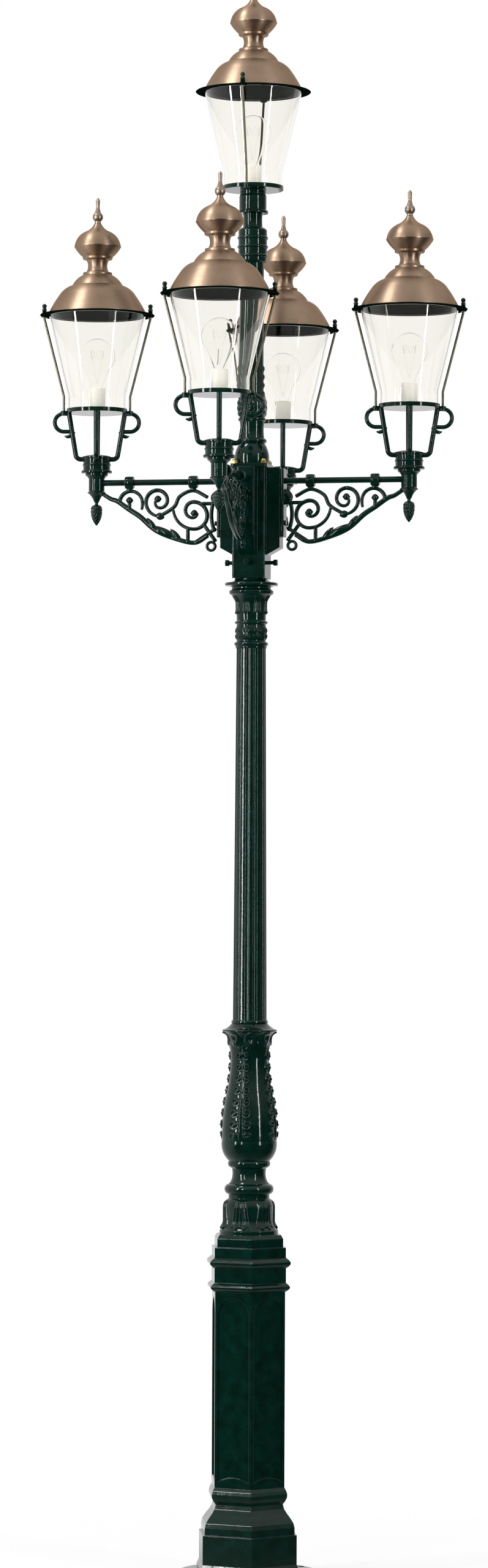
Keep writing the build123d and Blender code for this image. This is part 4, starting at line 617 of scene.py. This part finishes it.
# %% Pan of the top lantern
low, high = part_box("lantern_frame_top")
seat, (x, y, pan) = low.z / MM, lanterns["top"]
cup = turned_line([
    (24.5, seat, 0), (40, seat, 0), (40, seat + 7, 1), (36, seat + 8, 0), (36, pan - 21, 0), (34, pan - 19, 0),
    (34, pan - 9, 0), (38, pan - 6, -1.2), (80, pan - 6, 0), (80.9, pan - 5, 0.3), (80.9, pan + 4.1, 0),
    (80, pan + 5, 0.3), (77.4, pan + 5, 0), (77.4, pan, 0), (5.5, pan, 0), (5.5, seat + 27, 0), (24.5, seat + 27, 0),
    (24.5, seat, 0),
], 1.5)
boss = turned_line([
    (0.1, pan - 13, 0), (7, pan - 13, 0), (8, pan - 12, 0.3), (8, pan - 1, 0), (7, pan, 0.3), (0.1, pan, 0)
], 1.5)
ROD_CIRCLE = 88.0
gallery = [turned_grid(cup, 128, None, (x, y, 0))]
for knob in ("knob_top_a", "knob_top_b"):
    low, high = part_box(knob)
    out = np.array([low.x + high.x, low.y + high.y]) / 2 / MM - (x, y)
    spot = ROD_CIRCLE * out / np.linalg.norm(out)
    gallery.append(turned_grid(boss, 32, None, (x + spot[0], y + spot[1], 0)))
make_piece("gallery_pan", gallery, paint, "post", ["lantern_frame_top"])

# %% [markdown]
# Each lantern has a flat rim of thin sheet under its copper hood, and the glass cone reaches up to it. The solids have
# a stouter drooping brim and end the copper and the glass a little sooner, so slimmer turned pieces with the same axis
# and seat take their place. A shell is its outer line, and the same line again a wall's thickness inwards. The cone's
# ends have short rows, so that the smooth shading doesn't round them over.

# %% Hoods, rims and cones
COPPER_WALL, GLASS_WALL, SHADE_LINING_WALL = 1.5, 3.0, 0.6


def shell(line, wall):
    """A closed outline round a thin wall: the line, then line - wall times its outward normal, back to the start."""
    tangent = np.gradient(line, axis=0)
    tangent /= np.linalg.norm(tangent, axis=1)[:, None]
    inner = line - wall * np.stack([tangent[:, 1], -tangent[:, 0]], -1)
    return np.concatenate([line, inner[::-1], line[:1]])


spun = turned_line([
    (130.5, 258.2, 0), (101.5, 308, 1.5), (67.5, 333.5, 4), (38, 362.5, 3.5), (38, 368.5, 1), (30, 370, 0),
    (30, 402, -4.5), (38, 403.5, 0), (39.5, 410, 1), (61.5, 436, 1.5), (61.5, 440, 1), (30, 479, 7), (8.2, 501.5, -3),
], 2.5)
rim = turned_line([
    (121, 253.6, 0), (150, 253.6, 0), (152.5, 254.8, 0.4), (150, 256, 0.4), (134, 258, 0), (121, 258, 0),
    (121, 253.6, 0),
], 1.5)
stud_boss = turned_line([
    (0.1, 250, 0), (8, 250, 0), (9, 251, 0.3), (9, 256, 0), (6, 259, -0.6), (5.5, 267.2, 0), (0.1, 267.2, 0)
], 1.5)
cone = turned_line([(77, 0, 0), (77, 0.4, 0), (77, 38, 0), (128.9, 253, 0), (129, 253.4, 0)], 6.0)
# This finish is also painted shade: inside each hood, a dark sheet stands for the shade under the copper.
primer_and_shade = plain["primer_and_painted_shade"]
dome = spun[spun[:, 1] < 362]
shade_lining = shell(shell(dome, 2.0)[len(dome):2 * len(dome)][::-1], SHADE_LINING_WALL)
for side, place in lanterns.items():
    hood, hood_grid = f"hood_{side}", turned_grid(shell(spun, COPPER_WALL), 112, None, place)
    make_piece(f"spun_hood_{side}", [hood_grid], copper, hood, [hood])
    rims = [turned_grid(rim, 112, None, place)]
    for letter in "ab":
        low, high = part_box(f"knob_{side}_{letter}")
        stud = np.array([(low.x + high.x) / 2, (low.y + high.y) / 2, place[2] * MM]) / MM
        rims.append(turned_grid(stud_boss, 32, None, stud))
    make_piece(f"flat_rim_{side}", rims, primer_and_shade, hood, [f"hood_ring_{side}"])
    # The hood lining is painted shade: a thin dark sheet inside the copper dome.
    make_piece(f"hood_shade_lining_{side}", [turned_grid(shade_lining, 96, None, place)], primer_and_shade, hood)
    pane = turned_grid(shell(cone, GLASS_WALL), 112, None, place)
    make_piece(f"glass_cone_{side}", [pane], cone_glass, "post", [f"glass_{side}"])

# %% [markdown]
# Inside each globe a glass stem carries two wires and a long looped filament. They are thin tubes carried along paths
# in space too.

# %% Filaments
stems, coils = [], []
for x, y, z in lanterns.values():
    turn = np.linspace(0, 2 * math.pi, 121)
    zigzag = np.stack([x + 17 * np.cos(turn), y + 17 * np.sin(turn), z + 150 + 11 * np.cos(6 * turn)], -1)
    coils.append(wire(zigzag, 0.16))
    for side in (-1, 1):
        lead = smooth_path([(0, 74), (5 * side, 96), (9 * side, 118), (17 * side, 150 + 11)], 24)
        coils.append(wire(np.stack([x + lead[:, 0], y + 0 * lead[:, 0], z + lead[:, 1]], -1), 0.22))
    stem = turned_line([(0.1, 72, 0), (6.5, 72, 0), (5, 92, -1), (3, 104, 0), (3.4, 112, 0.6), (0.1, 114, 0)], 1.5)
    stems.append(turned_grid(stem, 20, None, (x, y, z)))
make_piece("filaments", coils, metals["pale_tungsten"], "post")
make_piece("bulb_stems", stems, globe_glass, "post")

# %% [markdown]
# The picture stands on white. The floor is a pale plane that shines white to the camera, but near the foot it still
# takes a soft shadow, and it fades to the backdrop within some 1.6 m, so no horizon shows. The world is white to camera
# and glass rays and a plain grey light to everything else. To gloss rays it is white behind the post, bright above like
# an overcast sky, and dark round the viewer like a garden, because glossy paint that mirrors white all round looks like
# chalk, while the tops of mouldings and hoods do mirror the sky.

# %% Floor, world and lamps
def white_behind(tree, vector, start, stop):
    """White behind the post, falling to a dark 0.05 on the viewer's right, from how far a vector leans that way."""
    lean = node(tree, "VectorMath", [(0, vector)], operation="DOT_PRODUCT")
    lean.inputs[1].default_value = (math.sin(math.radians(38)), -math.cos(math.radians(38)), 0)
    amount = [("Value", lean.outputs["Value"])]
    return node(tree, "MapRange", amount, From_Min=start, From_Max=stop, To_Min=1.0, To_Max=0.05)


def straight_rays(tree, rays):
    """1 for rays from the camera, also where they have passed through glass."""
    straight = [(0, rays.outputs["Is Camera Ray"]), (1, rays.outputs["Is Transmission Ray"])]
    return node(tree, "Math", straight, operation="MAXIMUM")


floor_mesh = bpy.data.meshes.new("floor")
floor_mesh.from_pydata([(-60, -60, 0), (60, -60, 0), (60, 60, 0), (-60, 60, 0)], [], [(0, 1, 2, 3)])
floor = bpy.data.objects.new("floor", floor_mesh)
bpy.context.scene.collection.objects.link(floor)
white, tree, shader = new_material("pale_floor", Base_Color=linear("#fafafa"), Roughness=0.9)
glow = node(tree, "Emission", Strength=1.0)
rays = node(tree, "LightPath")
seen = straight_rays(tree, rays)
place = node(tree, "TexCoord")
room = white_behind(tree, place.outputs["Object"], -1.0, 0.5)
gleam = node(tree, "Mix", [("Factor", rays.outputs["Is Glossy Ray"]), ("B", room.outputs[0])], A=1.0)
gleam = node(tree, "Mix", [("Factor", seen.outputs[0]), ("A", gleam.outputs[0])], B=1.0)
tree.links.new(gleam.outputs[0], glow.inputs["Strength"])
seen = node(tree, "Math", [(0, seen.outputs[0]), (1, rays.outputs["Is Glossy Ray"])], operation="MAXIMUM")
far = node(tree, "VectorMath", [(0, place.outputs["Object"])], operation="LENGTH")
fade = node(tree, "MapRange", [("Value", far.outputs["Value"])], From_Min=0.15, From_Max=1.6, To_Min=0.8, To_Max=1.0)
share = node(tree, "Math", [(0, seen.outputs[0]), (1, fade.outputs[0])], operation="MULTIPLY")
both_shaders = node(tree, "MixShader", [(0, share.outputs[0]), (1, shader.outputs[0]), (2, glow.outputs[0])])
tree.links.new(both_shaders.outputs[0], tree.nodes["Material Output"].inputs[0])
floor_mesh.materials.append(white)

scene = bpy.context.scene
scene.world = bpy.data.worlds.new("studio")
scene.world.use_nodes = True
tree = scene.world.node_tree
backdrop = tree.nodes["Background"]
backdrop.inputs[0].default_value = linear("#ffffff")
rays = node(tree, "LightPath")
seen = straight_rays(tree, rays)
place = node(tree, "TexCoord")
room = white_behind(tree, place.outputs["Generated"], -0.45, 0.3)
height = node(tree, "SeparateXYZ", [(0, place.outputs["Generated"])])
sky = node(tree, "MapRange", [("Value", height.outputs["Z"])], From_Min=0.03, From_Max=0.55, To_Min=0.05, To_Max=1.0)
room = node(tree, "Math", [(0, room.outputs[0]), (1, sky.outputs[0])], operation="MAXIMUM")
level = node(tree, "Mix", [("Factor", rays.outputs["Is Glossy Ray"]), ("B", room.outputs[0])], A=0.45)
level = node(tree, "Mix", [("Factor", seen.outputs[0]), ("A", level.outputs[0])], B=1.0)
tree.links.new(level.outputs[0], backdrop.inputs[1])


def lamp(name, place, target, size, power):
    """A rectangular soft lamp that faces a target."""
    light = bpy.data.lights.new(name, "AREA")
    light.shape, light.size, light.size_y, light.energy = "RECTANGLE", size[0], size[1], power
    holder = bpy.data.objects.new(name, light)
    holder.location = place
    holder.rotation_euler = (Vector(target) - Vector(place)).to_track_quat("-Z", "Y").to_euler()
    bpy.context.scene.collection.objects.link(holder)


lamp("left_softbox", (-4.6, -4.4, 3.2), (0, 0, 2.2), (0.5, 4.2), 290)
lamp("right_softbox", (4.8, -3.2, 3.0), (0, 0, 2.2), (0.35, 4.2), 150)
lamp("front_strip", (-2.4, -6.5, 3.0), (0, 0, 2.0), (0.22, 3.6), 110)
lamp("top_softbox", (-3.0, -1.8, 8.0), (0, 0, 2.2), (1.4, 1.4), 130)

# %% [markdown]
# The camera stands some 12.8 m away at eye height and looks a little up, a bit to the right of the front arm, as the
# converging heights of the lanterns show. The lens follows from the frame of 797 by 2560 and the bulbs' size.

# %% Camera
FOCAL, WIDE, TALL = 7900.0, 797, 2560
azimuth, distance, eye = math.radians(11.5), 12.76, 1.835
camera = bpy.data.cameras.new("camera")
camera.sensor_fit, camera.sensor_width = "AUTO", 36.0
camera.lens = 36.0 * FOCAL / TALL
camera.clip_end = 200
eye_object = bpy.data.objects.new("camera", camera)
bpy.context.scene.collection.objects.link(eye_object)
right = Vector((math.cos(azimuth), math.sin(azimuth), 0))
stand = Vector((math.sin(azimuth) * distance, -math.cos(azimuth) * distance, eye))
aim = Vector((0, 0, eye + distance * (1438 - 1280) / FOCAL)) - right * (distance * 10.8 / FOCAL)
turn = (aim - stand).to_track_quat("-Z", "Y").to_matrix().to_4x4() @ Matrix.Rotation(math.radians(0.23), 4, "Z")
eye_object.matrix_world = Matrix.Translation(stand) @ turn
scene.camera = eye_object
scene.view_settings.view_transform = "Standard"
